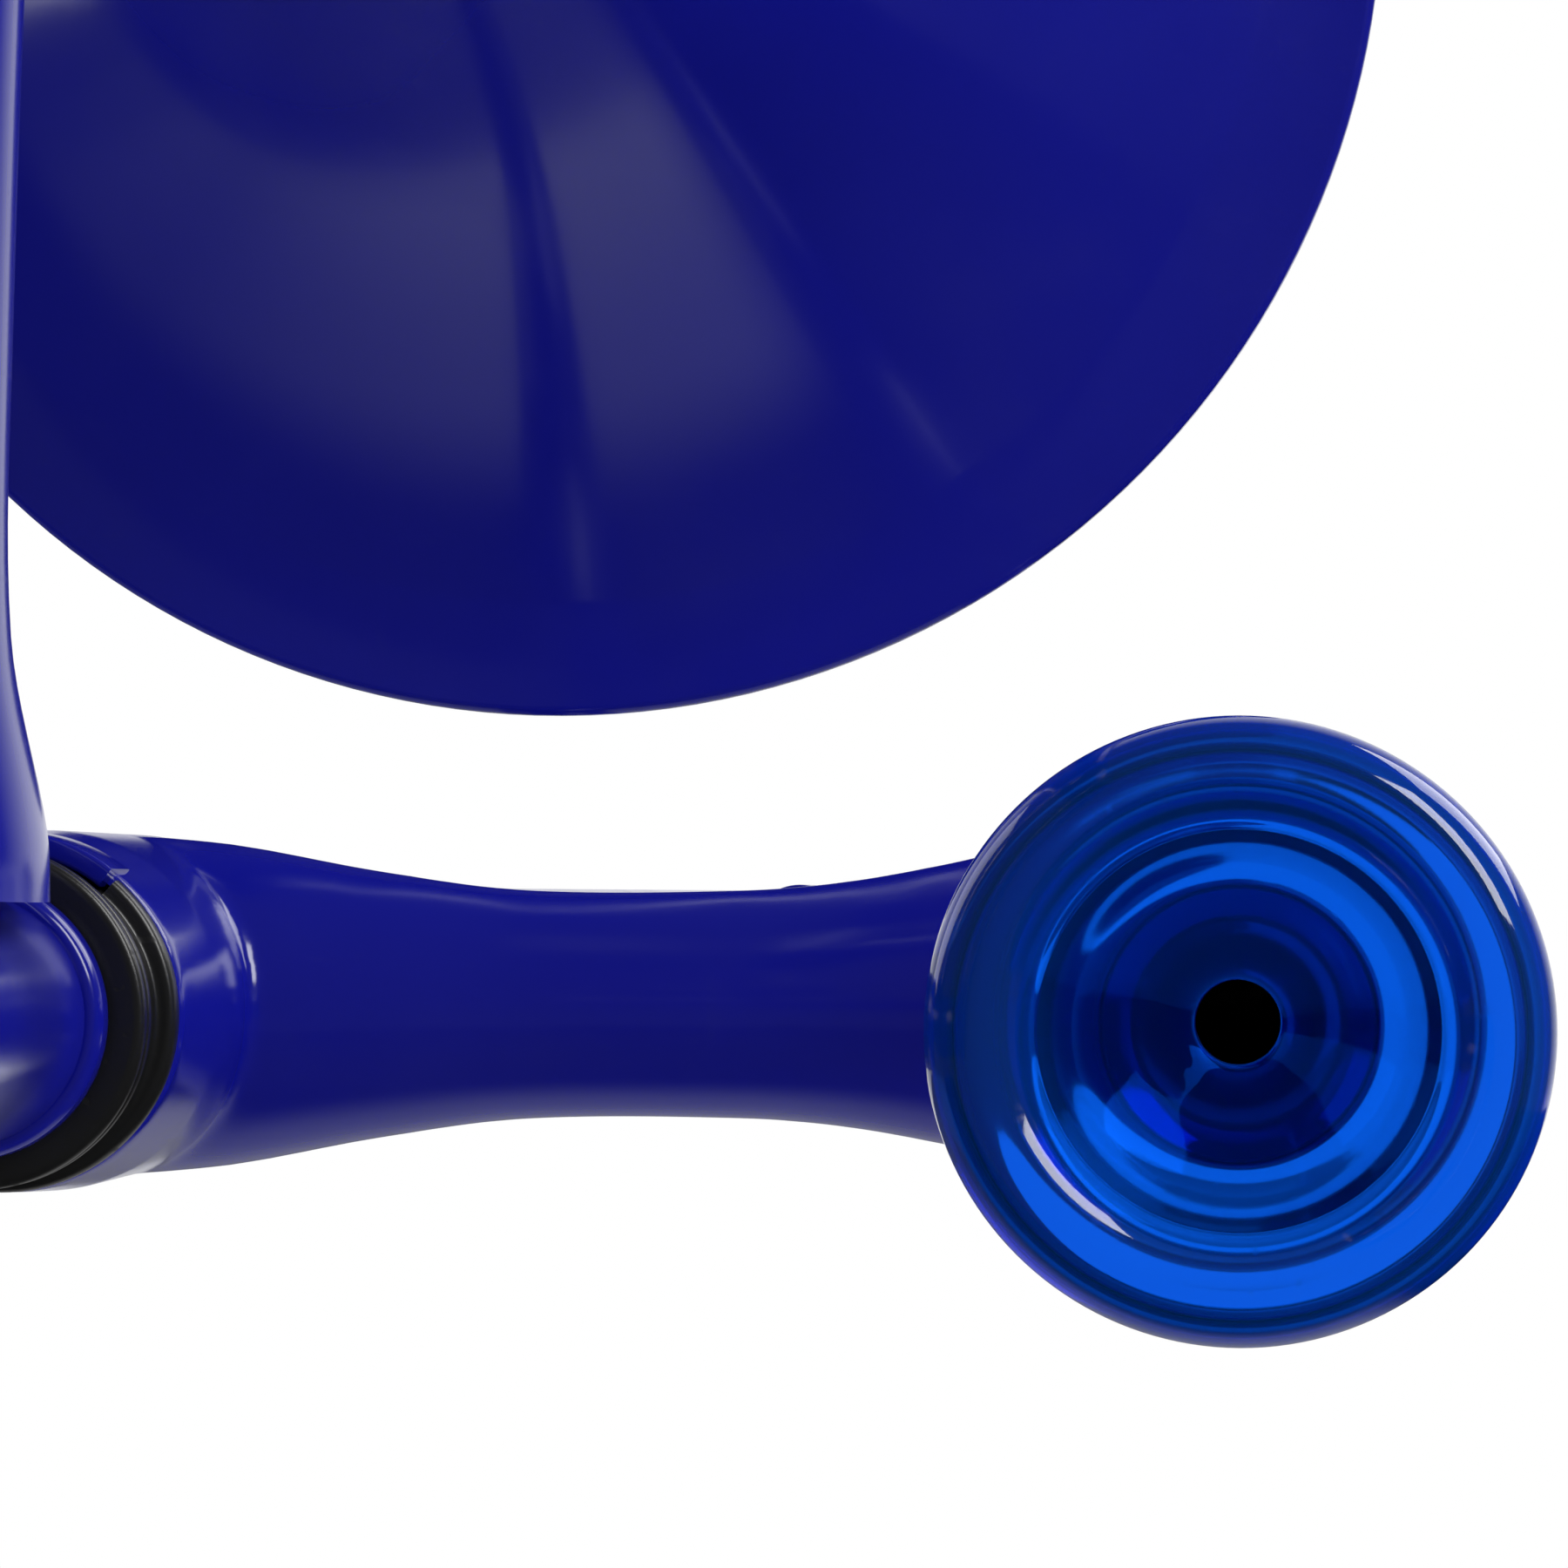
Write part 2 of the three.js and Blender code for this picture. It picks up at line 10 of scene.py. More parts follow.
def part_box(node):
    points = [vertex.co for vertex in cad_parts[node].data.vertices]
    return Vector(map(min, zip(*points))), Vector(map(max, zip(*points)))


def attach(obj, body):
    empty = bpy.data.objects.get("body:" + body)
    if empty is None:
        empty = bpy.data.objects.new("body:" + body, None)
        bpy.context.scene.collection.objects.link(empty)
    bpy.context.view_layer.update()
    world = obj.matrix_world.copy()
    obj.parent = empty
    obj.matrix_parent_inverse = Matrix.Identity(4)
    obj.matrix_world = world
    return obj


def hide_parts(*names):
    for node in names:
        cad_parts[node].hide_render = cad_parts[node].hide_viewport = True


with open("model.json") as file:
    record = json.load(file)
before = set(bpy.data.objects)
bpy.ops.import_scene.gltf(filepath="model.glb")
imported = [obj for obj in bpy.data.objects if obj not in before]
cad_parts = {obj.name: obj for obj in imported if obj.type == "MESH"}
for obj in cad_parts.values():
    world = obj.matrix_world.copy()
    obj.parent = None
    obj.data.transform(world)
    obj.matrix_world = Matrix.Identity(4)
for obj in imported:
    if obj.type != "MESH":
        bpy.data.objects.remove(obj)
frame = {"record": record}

mm = 0.001
scene = bpy.context.scene
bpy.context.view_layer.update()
bodyOf = {node: body for body, nodes in frame["record"]["behaviour"]["bodies"].items() for node in nodes}
slotOf = {part["node"]: part["material_slot"] for part in frame["record"]["subparts"]}


class Place:
    # where a turned CAD node stands: its axis runs along Y. All in millimetres.
    def __init__(self, node):
        low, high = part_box(node)
        self.x = (low.x + high.x) / 2 / mm
        self.z = (low.z + high.z) / 2 / mm
        self.back = low.y / mm
        self.front = high.y / mm
        self.length = self.front - self.back
        self.radius = (high.x - low.x) / 2 / mm


joint = Place("joint_tenon")
mouth = Place("mouthpiece")
bellAxis = Place("bell")
slideSpacing = mouth.x - joint.x
bellHeight = math.hypot(bellAxis.x - joint.x, bellAxis.z - joint.z)
bellTilt = math.atan2(bellAxis.x - joint.x, bellAxis.z - joint.z)
atJoint = Matrix.Translation((joint.x * mm, 0, 0))
atBell = atJoint @ Matrix.Rotation(bellTilt, 4, "Y")  # the bell section's own frame, upright on the joint
print("frame loaded, bell tilt", round(math.degrees(bellTilt), 2))


# outlines: points of (radius, along) in millimetres


def roundedOutline(corners, steps=5):
    # corners are (radius, along, rounding); each rounding becomes a short curve
    points = []
    for i, (radius, along, rounding) in enumerate(corners):
        here = Vector((radius, along))
        if rounding == 0:
            points.append(here)
            continue
        before = Vector(corners[i - 1][:2])
        after = Vector(corners[(i + 1) % len(corners)][:2])
        start = here + (before - here).normalized() * min(rounding, (before - here).length * 0.48)
        end = here + (after - here).normalized() * min(rounding, (after - here).length * 0.48)
        for step in range(steps + 1):
            t = step / steps
            points.append(start * (1 - t) ** 2 + here * (2 * t * (1 - t)) + end * t**2)
    return points


def smoothOutline(knots, steps=8):
    # a smooth curve through the knots, which are (radius, along)
    pts = [Vector((a, b, 0)) for a, b in knots]
    slopes = []
    for i in range(len(pts)):
        before = pts[max(i - 1, 0)]
        after = pts[min(i + 1, len(pts) - 1)]
        slopes.append((after - before).normalized())
    points = []
    for i in range(len(pts) - 1):
        third = (pts[i + 1] - pts[i]).length / 3
        piece = interpolate_bezier(
            pts[i], pts[i] + slopes[i] * third, pts[i + 1] - slopes[i + 1] * third, pts[i + 1], steps + 1
        )
        points += piece if i == 0 else piece[1:]
    return [point.to_2d() for point in points]


def tubeOutline(outer, bore, back, front, rounding=0.5):
    inside = min(rounding, (outer - bore) * 0.4)
    return roundedOutline(
        [(bore, back, inside), (outer, back, rounding), (outer, front, rounding), (bore, front, inside)]
    )


# meshes: bmeshes in metres from outlines in millimetres


def turned(outline, segments=72, closed=True, axis="Y"):
    # spins an outline of (radius, along) millimetres round Y, or round X or Z
    bm = bmesh.new()
    verts = [bm.verts.new((point[0] * mm, point[1] * mm, 0)) for point in outline]
    pairs = list(zip(verts, verts[1:] + verts[:1])) if closed else list(zip(verts, verts[1:]))
    edges = [bm.edges.new(pair) for pair in pairs]
    bmesh.ops.spin(
        bm,
        geom=verts + edges,
        cent=(0, 0, 0),
        axis=(0, 1, 0),
        angle=math.tau,
        steps=segments,
        use_merge=True,
    )
    bmesh.ops.remove_doubles(bm, verts=bm.verts, dist=1e-7)
    bmesh.ops.recalc_face_normals(bm, faces=bm.faces)
    if axis == "X":
        bm.transform(Matrix.Rotation(-math.pi / 2, 4, "Z"))
    if axis == "Z":
        bm.transform(Matrix.Rotation(math.pi / 2, 4, "X"))
    return bm


def rod(radius, back, front, segments=72, axis="Y"):
    return turned([(0, back), (radius, back), (radius, front), (0, front)], segments, False, axis)


def waisted(knots, depth, segments=72, axis="Z"):
    # a dog-bone from the first height to the last; depth is its thickness along Y over its width
    curve = smoothOutline([(half, height) for height, half in knots])
    bm = turned([(0, knots[0][0])] + curve + [(0, knots[-1][0])], segments, False, axis)
    bm.transform(Matrix.Diagonal((1, depth, 1, 1)))
    return bm


def ringSector(inner, outer, fromAngle, toAngle, back, front, rounding=0.3):
    # part of a ring round Y; angles in degrees from +Z towards +X
    bm = turned(tubeOutline(outer, inner, back, front, rounding), 180)
    for angle, side in ((fromAngle, -1), (toAngle, 1)):
        across = Vector((math.cos(math.radians(angle)), 0, -math.sin(math.radians(angle)))) * side
        geom = bm.verts[:] + bm.edges[:] + bm.faces[:]
        bmesh.ops.bisect_plane(bm, geom=geom, plane_co=(0, 0, 0), plane_no=across, clear_outer=True)
        bmesh.ops.holes_fill(bm, edges=[edge for edge in bm.edges if edge.is_boundary])
    bmesh.ops.recalc_face_normals(bm, faces=bm.faces)
    return bm


def roundedBlock(low, high, rounding=0.5):
    size = Vector(high) - Vector(low)
    middle = (Vector(high) + Vector(low)) / 2
    bm = bmesh.new()
    place = Matrix.Translation(middle * mm) @ Matrix.Diagonal((*size * mm, 1))
    bmesh.ops.create_cube(bm, size=1, matrix=place)
    bmesh.ops.bevel(
        bm, geom=bm.edges[:], offset=rounding * mm, affect="EDGES", segments=3, profile=0.5, material=-1)
    return bm


def moved(bm, x=0.0, y=0.0, z=0.0, turn=None):
    if turn:
        bm.transform(turn)
    bm.transform(Matrix.Translation((x * mm, y * mm, z * mm)))
    return bm


def bentTube(outer, bore, leg, bend, sides=56, steps=56):
    # two legs along Y, at x = -bend and x = bend, joined by a half circle at +Y
    bm = bmesh.new()
    starts, ends = [], []
    for radius in (outer, bore) if bore else (outer,):
        turn = Matrix.Translation((-bend * mm, 0, 0)) @ Matrix.Rotation(math.pi / 2, 4, "X")
        circle = bmesh.ops.create_circle(bm, segments=sides, radius=radius * mm, cap_ends=False, matrix=turn)
        edges = list({edge for vert in circle["verts"] for edge in vert.link_edges})
        starts += edges
        for move in (leg, None, -leg):
            if move is None:
                geom = list({vert for edge in edges for vert in edge.verts}) + edges
                made = bmesh.ops.spin(
                    bm, geom=geom, cent=(0, leg * mm, 0), axis=(0, 0, -1), angle=math.pi, steps=steps)
                made = made["geom_last"]
            else:
                made = bmesh.ops.extrude_edge_only(bm, edges=edges)["geom"]
                verts = [part for part in made if isinstance(part, bmesh.types.BMVert)]
                bmesh.ops.translate(bm, verts=verts, vec=(0, move * mm, 0))
            edges = [part for part in made if isinstance(part, bmesh.types.BMEdge)]
            edges = [edge for edge in edges if abs(edge.verts[0].co.y - edge.verts[1].co.y) < 1e-6]
        ends += edges
    for loop in (starts, ends):
        if bore:
            bmesh.ops.bridge_loops(bm, edges=loop)
        else:
            bmesh.ops.holes_fill(bm, edges=loop)
    bmesh.ops.recalc_face_normals(bm, faces=bm.faces)
    return bm


def meshObject(name, *parts):
    # one object from one or more bmeshes
    mesh = bpy.data.meshes.new(name)
    whole = bmesh.new()
    for part in parts:
        part.to_mesh(mesh)
        whole.from_mesh(mesh)
        part.free()
    whole.to_mesh(mesh)
    whole.free()
    obj = bpy.data.objects.new(name, mesh)
    scene.collection.objects.link(obj)
    return obj


def applied(obj):
    graph = bpy.context.evaluated_depsgraph_get()
    mesh = bpy.data.meshes.new_from_object(obj.evaluated_get(graph))
    obj.modifiers.clear()
    obj.data = mesh
    return obj


def combine(obj, tool, operation):
    # joins the tool to the object or cuts it away, and removes the tool
    modifier = obj.modifiers.new("combine", "BOOLEAN")
    modifier.operation = operation
    modifier.solver = "MANIFOLD"
    modifier.object = tool
    applied(obj)
    bpy.data.objects.remove(tool)
    return obj


def moulded(name, solids, cuts=(), additions=(), voxel=0.5, passes=10):
    # melts the solids into one body with soft fillets, then cuts and adds crisp details
    obj = meshObject(name, *solids)
    remesh = obj.modifiers.new("melt", "REMESH")
    remesh.mode = "VOXEL"
    remesh.voxel_size = voxel * mm
    soften = obj.modifiers.new("soften", "SMOOTH")
    soften.factor = 0.5
    soften.iterations = passes
    applied(obj)
    for cut in cuts:
        combine(obj, meshObject("cut", cut), "DIFFERENCE")
    for addition in additions:
        combine(obj, meshObject("addition", addition), "UNION")
    return obj


finishes = {}


def hang(obj, *nodes, sharpAngle=38):
    # gives a finished piece its shading, finish, body and CAD nodes
    obj.data.shade_smooth()
    obj.data.set_sharp_from_angle(angle=math.radians(sharpAngle))
    slot = slotOf[nodes[0]]
    obj.data.materials.clear()
    obj.data.materials.append(finishes[slot])
    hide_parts(*nodes)
    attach(obj, bodyOf[nodes[0]])
    return obj


def hangTurned(node, outline, segments=72, closed=True):
    # a turned piece on its CAD node's own axis
    at = Place(node)
    return hang(meshObject(node + ".turned", moved(turned(outline, segments, closed), at.x, 0, at.z)), node)


# finishes: one material per slot, all built on object coordinates


def link(tree, source, target):
    tree.links.new(source, target)


def mapRange(tree, value, fromLow, fromHigh, toLow, toHigh):
    node = tree.nodes.new("ShaderNodeMapRange")
    for socket, number in zip(node.inputs[1:5], (fromLow, fromHigh, toLow, toHigh)):
        socket.default_value = number
    link(tree, value, node.inputs[0])
    return node.outputs[0]


def noise(tree, vector, scale, detail=4.0, roughness=0.55):
    node = tree.nodes.new("ShaderNodeTexNoise")
    node.inputs["Scale"].default_value = scale
    node.inputs["Detail"].default_value = detail
    node.inputs["Roughness"].default_value = roughness
    link(tree, vector, node.inputs["Vector"])
    return node.outputs["Fac"]


def stretched(tree, vector, scale, turn=(0, 0, 0)):
    node = tree.nodes.new("ShaderNodeMapping")
    node.inputs["Scale"].default_value = scale
    node.inputs["Rotation"].default_value = [math.radians(angle) for angle in turn]
    link(tree, vector, node.inputs["Vector"])
    return node.outputs[0]


def sums(tree, operation, first, second):
    node = tree.nodes.new("ShaderNodeMath")
    node.operation = operation
    for socket, value in zip(node.inputs, (first, second)):
        if isinstance(value, (int, float)):
            socket.default_value = value
        else:
            link(tree, value, socket)
    return node.outputs[0]


def handledSurface():
    # what handling and moulding leave on a surface: hairlines, finger marks, mottle and a fine texture
    group = bpy.data.node_groups.new("handled surface", "ShaderNodeTree")
    group.interface.new_socket("Vector", in_out="INPUT", socket_type="NodeSocketVector")
    for name in ("Polish", "Marks", "Hairlines", "Texture"):
        group.interface.new_socket(name, in_out="INPUT", socket_type="NodeSocketFloat")
    for name in ("Roughness", "Mottle", "Height"):
        group.interface.new_socket(name, in_out="OUTPUT", socket_type="NodeSocketFloat")
    start = group.nodes.new("NodeGroupInput").outputs
    end = group.nodes.new("NodeGroupOutput").inputs
    vector = start["Vector"]

    marks = mapRange(group, noise(group, vector, 34, 5, 0.6), 0.5, 0.75, 0, 1)
    lines = None
    scratches = (
        ((0, 20, 35), (30, 900, 900)), ((50, 0, -25), (900, 40, 900)), ((10, 65, 80), (700, 700, 30)))
    for turn, scale in scratches:
        streak = noise(group, stretched(group, vector, scale, turn), 1, 1, 0.4)
        streak = mapRange(group, streak, 0.71, 0.76, 0, 1)
        lines = streak if lines is None else sums(group, "MAXIMUM", lines, streak)
    peel = noise(group, vector, 260, 2, 0.5)
    grain = noise(group, vector, 2600, 2, 0.6)

    worn = sums(group, "MULTIPLY", marks, start["Marks"])
    scored = sums(group, "MULTIPLY", lines, start["Hairlines"])
    roughness = sums(group, "ADD", sums(group, "ADD", start["Polish"], worn), scored)
    link(group, roughness, end["Roughness"])
    link(group, mapRange(group, noise(group, vector, 14, 3, 0.5), 0.3, 0.7, 0, 1), end["Mottle"])
    height = sums(group, "ADD", peel, sums(group, "MULTIPLY", grain, start["Texture"]))
    link(group, sums(group, "SUBTRACT", height, sums(group, "MULTIPLY", scored, 4.0)), end["Height"])
    return group


surfaceGroup = handledSurface()


def makeFinish(name, look):
    material = bpy.data.materials.new(name)
    material.use_nodes = True
    tree = material.node_tree
    shader = tree.nodes["Principled BSDF"]
    vector = tree.nodes.new("ShaderNodeTexCoord").outputs["Object"]

    surface = tree.nodes.new("ShaderNodeGroup")
    surface.node_tree = surfaceGroup
    for socket in ("Polish", "Marks", "Hairlines", "Texture"):
        surface.inputs[socket].default_value = look[socket.lower()]
    link(tree, vector, surface.inputs["Vector"])
    link(tree, surface.outputs["Roughness"], shader.inputs["Roughness"])

    colours = tree.nodes.new("ShaderNodeMix")
    colours.data_type = "RGBA"
    colours.inputs["A"].default_value = (*look["colour"], 1)
    colours.inputs["B"].default_value = (*look["secondColour"], 1)
    link(tree, surface.outputs["Mottle"], colours.inputs["Factor"])
    colour = colours.outputs["Result"]
    height = surface.outputs["Height"]

    if "winding" in look:
        # fine turns of fibre, wound both ways round the tube
        for angle in (look["winding"]["angle"], -look["winding"]["angle"]):
            wave = tree.nodes.new("ShaderNodeTexWave")
            wave.bands_direction = "Y"
            wave.inputs["Scale"].default_value = look["winding"]["scale"]
            wave.inputs["Distortion"].default_value = look["winding"]["distortion"]
            link(tree, stretched(tree, vector, (1, 1, 1), (angle, 0, angle)), wave.inputs["Vector"])
            height = sums(tree, "ADD", height, wave.outputs["Fac"])
        # a painted glint: a lighter colour laid on the crests of the fibre turns
        paintedGlint = tree.nodes.new("ShaderNodeMix")
        paintedGlint.data_type = "RGBA"
        paintedGlint.inputs["B"].default_value = (*look["winding"]["colour"], 1)
        link(tree, colour, paintedGlint.inputs["A"])
        link(tree, mapRange(tree, wave.outputs["Fac"], 0.6, 1, 0, 0.7), paintedGlint.inputs["Factor"])
        colour = paintedGlint.outputs["Result"]
    if "brushing" in look:
        brushed = noise(tree, stretched(tree, vector, look["brushing"]), 1, 3, 0.6)
        height = sums(tree, "ADD", height, brushed)

    link(tree, colour, shader.inputs["Base Color"])
    bump = tree.nodes.new("ShaderNodeBump")
    bump.inputs["Strength"].default_value = look["bump"]
    bump.inputs["Distance"].default_value = 0.05 * mm
    link(tree, height, bump.inputs["Height"])
    link(tree, bump.outputs["Normal"], shader.inputs["Normal"])
    for socket, value in look.get("shader", {}).items():
        shader.inputs[socket].default_value = value
    if "body" in look:
        # colour that deepens with the thickness of the plastic
        body = tree.nodes.new("ShaderNodeVolumeAbsorption")
        body.inputs["Color"].default_value = (*look["body"]["colour"], 1)
        body.inputs["Density"].default_value = look["body"]["density"]
        link(tree, body.outputs[0], tree.nodes["Material Output"].inputs["Volume"])
    finishes[name] = material


finishLooks = {
    "blue_plastic": {
        "colour": (0.0045, 0.0062, 0.245), "secondColour": (0.0040, 0.0055, 0.215),
        "polish": 0.16, "marks": 0.05, "hairlines": 0.03, "texture": 0.01, "bump": 0.04,
        "shader": {"IOR": 1.5, "Coat Weight": 0.12, "Coat Roughness": 0.08},
    },
    "translucent_blue_plastic": {
        "colour": (0.006, 0.20, 1.0), "secondColour": (0.005, 0.185, 0.98),
        "polish": 0.05, "marks": 0.04, "hairlines": 0.05, "texture": 0.0, "bump": 0.03,
        "shader": {"IOR": 1.5, "Transmission Weight": 0.9},
        "body": {"colour": (0.2, 0.45, 0.70), "density": 250.0},
    },
    "black_plastic": {
        "colour": (0.006, 0.006, 0.007), "secondColour": (0.010, 0.010, 0.010),
        "polish": 0.30, "marks": 0.10, "hairlines": 0.2, "texture": 0.8, "bump": 0.25,
        "shader": {"IOR": 1.5},
    },
    "composite_tube": {
        "colour": (0.010, 0.010, 0.011), "secondColour": (0.018, 0.018, 0.020),
        "polish": 0.28, "marks": 0.12, "hairlines": 0.2, "texture": 0.5, "bump": 0.3,
        # the winding's colour is a painted glint on the crests of the fibre turns
        "winding": {"angle": 38, "scale": 330, "distortion": 0.6, "colour": (0.05, 0.05, 0.055)},
        "shader": {"IOR": 1.5, "Coat Weight": 0.3, "Coat Roughness": 0.15},
    },
    "black_rubber": {
        "colour": (0.009, 0.009, 0.009), "secondColour": (0.016, 0.016, 0.016),
        "polish": 0.62, "marks": 0.15, "hairlines": 0.1, "texture": 2.0, "bump": 0.6,
        "shader": {"IOR": 1.45, "Sheen Weight": 0.08},
    },
    "steel": {
        "colour": (0.60, 0.61, 0.63), "secondColour": (0.50, 0.51, 0.54),
        "polish": 0.2, "marks": 0.12, "hairlines": 0.25, "texture": 0.3, "bump": 0.2,
        "brushing": (40, 3000, 3000),
        "shader": {"Metallic": 1.0},
    },
}
for slotName, slotLook in finishLooks.items():
    makeFinish(slotName, slotLook)
print("finishes ready")

clearance = 0.3


# grip: receiver, brace, joint socket and its black bush
grip = {
    "span": [(0, 13.4), (10, 12.5), (21.5, 10.4), (33, 8.9), (50, 8.85), (58, 9.5), (66, 10.9), (74, 12.6),
             (88, 13.1)],
    "depth": 1.05, "middle": 12,
    "socketRadius": 13.4, "socketMouth": 12.8, "socketBack": -23.5,
    "counterbore": 11.9, "counterboreEnd": -20, "socketBore": 11.3,
    "receiverBack": -20, "receiverEnd": 10.2, "receiverRoot": 12.6, "receiverBore": 8.3,
    "barrelRadius": 11.4, "front": 46, "tubeSeat": 7.3, "tenonStop": 22, "shankStop": 17,
    "lug": {"inner": 11.6, "outer": 13.2, "halfAngle": 38, "back": -25.8, "front": -19},
}


def gripEnd(look, x, outside, inside):
    # one end of the grip: its tower, and the bore that leads into the seat of an inner tube
    front, seat, stop = look["front"], look["tubeSeat"], inside[-1][1]
    tower = turned(
        [(0, outside[0][1])] + outside + [(look["barrelRadius"], front), (0, front)], closed=False)
    bore = roundedOutline(inside + [(seat, stop, 0), (seat, front + 1, 0), (0, front + 1, 0)])
    return moved(tower, x), moved(turned(bore, 96, False), x)


def makeGrip(look):
    bar = moved(waisted(look["span"], look["depth"], axis="X"), joint.x, look["middle"])
    back, socket, barrel = look["socketBack"], look["socketRadius"], look["barrelRadius"]
    bore, counterbore, step = look["socketBore"], look["counterbore"], look["counterboreEnd"]
    jointTower, socketCut = gripEnd(
        look, joint.x,
        [(look["socketMouth"], back), (socket, -10), (socket, 22)]
        + smoothOutline([(socket, 24), (12.8, 31), (barrel, 38)]),
        [(0, back - 2, 0), (counterbore, back - 2, 0), (counterbore, step, 0), (bore, step, 0),
         (bore, look["tenonStop"], 0)])
    back, mouthEnd = look["receiverBack"], look["receiverEnd"]
    root, bore = look["receiverRoot"], look["receiverBore"]
    mouthTower, receiverCut = gripEnd(
        look, mouth.x,
        [(mouthEnd, back)] + smoothOutline([(mouthEnd, -18.5), (root, -5), (root, 20), (barrel, 36)]),
        [(0, back - 4, 0), (bore + 3, back - 2, 0), (bore, back + 0.8, 0.8),
         (bore, look["shankStop"], 0)])
    lug = look["lug"]
    half = lug["halfAngle"]
    tab = ringSector(lug["inner"], lug["outer"], -half, half, lug["back"], lug["front"], 0.4)
    body = moulded(
        "gripBrace", [bar, jointTower, mouthTower], [socketCut, receiverCut], [moved(tab, joint.x)],
        passes=20)
    hang(body, "grip_brace")


makeGrip(grip)

bush = {
    "bore": 8.95, "lip": 12.1, "neck": 11.2, "flange": 12.7, "flangeBack": -25.6,
    "seat": 11.6, "sleeve": 11.0,
    "notch": {"halfAngle": 41, "outer": 14, "back": -26, "front": -18.5},
}


def makeBush(look):
    at = Place("joint_bush")
    face = grip["socketBack"] - clearance
    outline = roundedOutline([
        (look["bore"], at.back, 0.4),
        (look["lip"], at.back, 0.8),
        (look["lip"], at.back + 1.3, 0.25),
        (look["lip"] - 0.45, at.back + 1.6, 0.2),
        (look["lip"], at.back + 1.9, 0.25),
        (look["lip"], at.back + 3.0, 0.4),
        (look["neck"], at.back + 3.6, 0.4),
        (look["neck"], look["flangeBack"], 0.6),
        (look["flange"], look["flangeBack"], 0.9),
        (look["flange"], face, 0.3),
        (look["seat"], face, 0),
        (look["seat"], grip["counterboreEnd"] - clearance, 0.1),
        (look["sleeve"], grip["counterboreEnd"] - clearance, 0),
        (look["sleeve"], at.front, 0.3),
        (look["bore"], at.front, 0.3),
    ])
    body = meshObject("jointBush", moved(turned(outline, 128), joint.x))
    # room for the lug of the grip
    cut = look["notch"]
    half = cut["halfAngle"]
    notch = ringSector(look["neck"] + 0.02, cut["outer"], -half, half, cut["back"], cut["front"], 0.05)
    combine(body, meshObject("notch", moved(notch, joint.x)), "DIFFERENCE")
    hang(body, "joint_bush")


makeBush(bush)

tubes = {
    "leadpipe": {"bore": 6.55, "rounding": 0.5},
    "inner_tube_mouthpiece_side": {"bore": 6.35, "rounding": 0.25},
    "inner_tube_bell_side": {"bore": 6.35, "rounding": 0.25},
    "stocking_mouthpiece_side": {"bore": 7.2, "rounding": 0.4},
    "stocking_bell_side": {"bore": 7.2, "rounding": 0.4},
    "slide_cushion_mouthpiece_side": {"bore": 7.3, "rounding": 0.8},
    "slide_cushion_bell_side": {"bore": 7.3, "rounding": 0.8},
    "outer_tube_mouthpiece_side": {"bore": 8.2, "rounding": 0.4},
    "outer_tube_bell_side": {"bore": 8.2, "rounding": 0.4},
    "tuning_leg_neck_side": {"bore": 6.8, "rounding": 0.3},
    "tuning_leg_bell_side": {"bore": 8.8, "rounding": 0.3},
}
for node, look in tubes.items():
    at = Place(node)
    hangTurned(node, tubeOutline(at.radius, look["bore"], at.back, at.front, look["rounding"]))

ferrules = {
    "crook_ferrule_mouthpiece_side": {"bore": 9.6, "beads": (0.12, 0.88), "rounding": 1.0},
    "crook_ferrule_bell_side": {"bore": 9.6, "beads": (0.12, 0.88), "rounding": 1.0},
    "neck_ferrule": {"bore": 10.1, "beads": (0.14, 0.86), "rounding": 1.0},
    "bell_ferrule": {"bore": 13.25, "beads": (0.14, 0.86), "rounding": 0.7},
    "bow_collar_neck_side": {"bore": 10.5, "beads": (0.5,), "rounding": 0.7},
    "bow_collar_bell_side": {"bore": 10.5, "beads": (0.5,), "rounding": 0.7},
}
grooveWidth = 0.9
grooveDepth = 0.35
for node, look in ferrules.items():
    at = Place(node)
    corners = [(look["bore"], at.back, 0.3), (at.radius, at.back, look["rounding"])]
    for share in look["beads"]:
        middle = at.back + share * at.length
        corners += [
            (at.radius, middle - grooveWidth / 2, 0.15), (at.radius - grooveDepth, middle, 0.25),
            (at.radius, middle + grooveWidth / 2, 0.15)]
    corners += [(at.radius, at.front, look["rounding"]), (look["bore"], at.front, 0.3)]
    hangTurned(node, roundedOutline(corners))

barrel = {
    "radius": 11.4, "bore": 9.8, "bead": 0.5,
    "stud": {"height": 14.6, "halfAngle": 11, "back": 78, "front": 82},
}
for node in ("barrel_mouthpiece_side", "barrel_bell_side"):
    at = Place(node)
    r, bead = barrel["radius"], barrel["bead"]
    outline = roundedOutline([
        (barrel["bore"], at.back, 0.3), (r, at.back, 0.4), (r, at.back + 2.2, 0.6),
        (r + bead, at.back + 4, 1.2), (r, at.back + 5.8, 0.6),
        (r, at.front - 4.6, 0.6), (r + bead * 0.8, at.front - 3.6, 0.6),
        (r + bead * 0.8, at.front - 1, 0.8), (r - 0.3, at.front, 0.6), (barrel["bore"], at.front, 0.4)])
    axisX = mouth.x if "mouthpiece" in node else joint.x
    body = meshObject(node + ".turned", moved(turned(outline, 96), axisX))
    if "mouthpiece" in node:
        stud = barrel["stud"]
        half = stud["halfAngle"]
        lump = ringSector(r - 1, stud["height"], -half, half, stud["back"], stud["front"], 0.7)
        combine(body, meshObject("stud", moved(lump, axisX)), "UNION")
    hang(body, node)
print("grip and tubes built")


# outer slide: hand brace, crook, bumper and lock
handBrace = {
    "span": [(0, 8.4), (14, 7.8), (26, 6.6), (44, 6.1), (62, 6.6), (74, 7.8), (88, 8.4)],
    "depth": 1.5, "sleeve": 11.0, "bore": 9.6, "lip": 2.2,
}


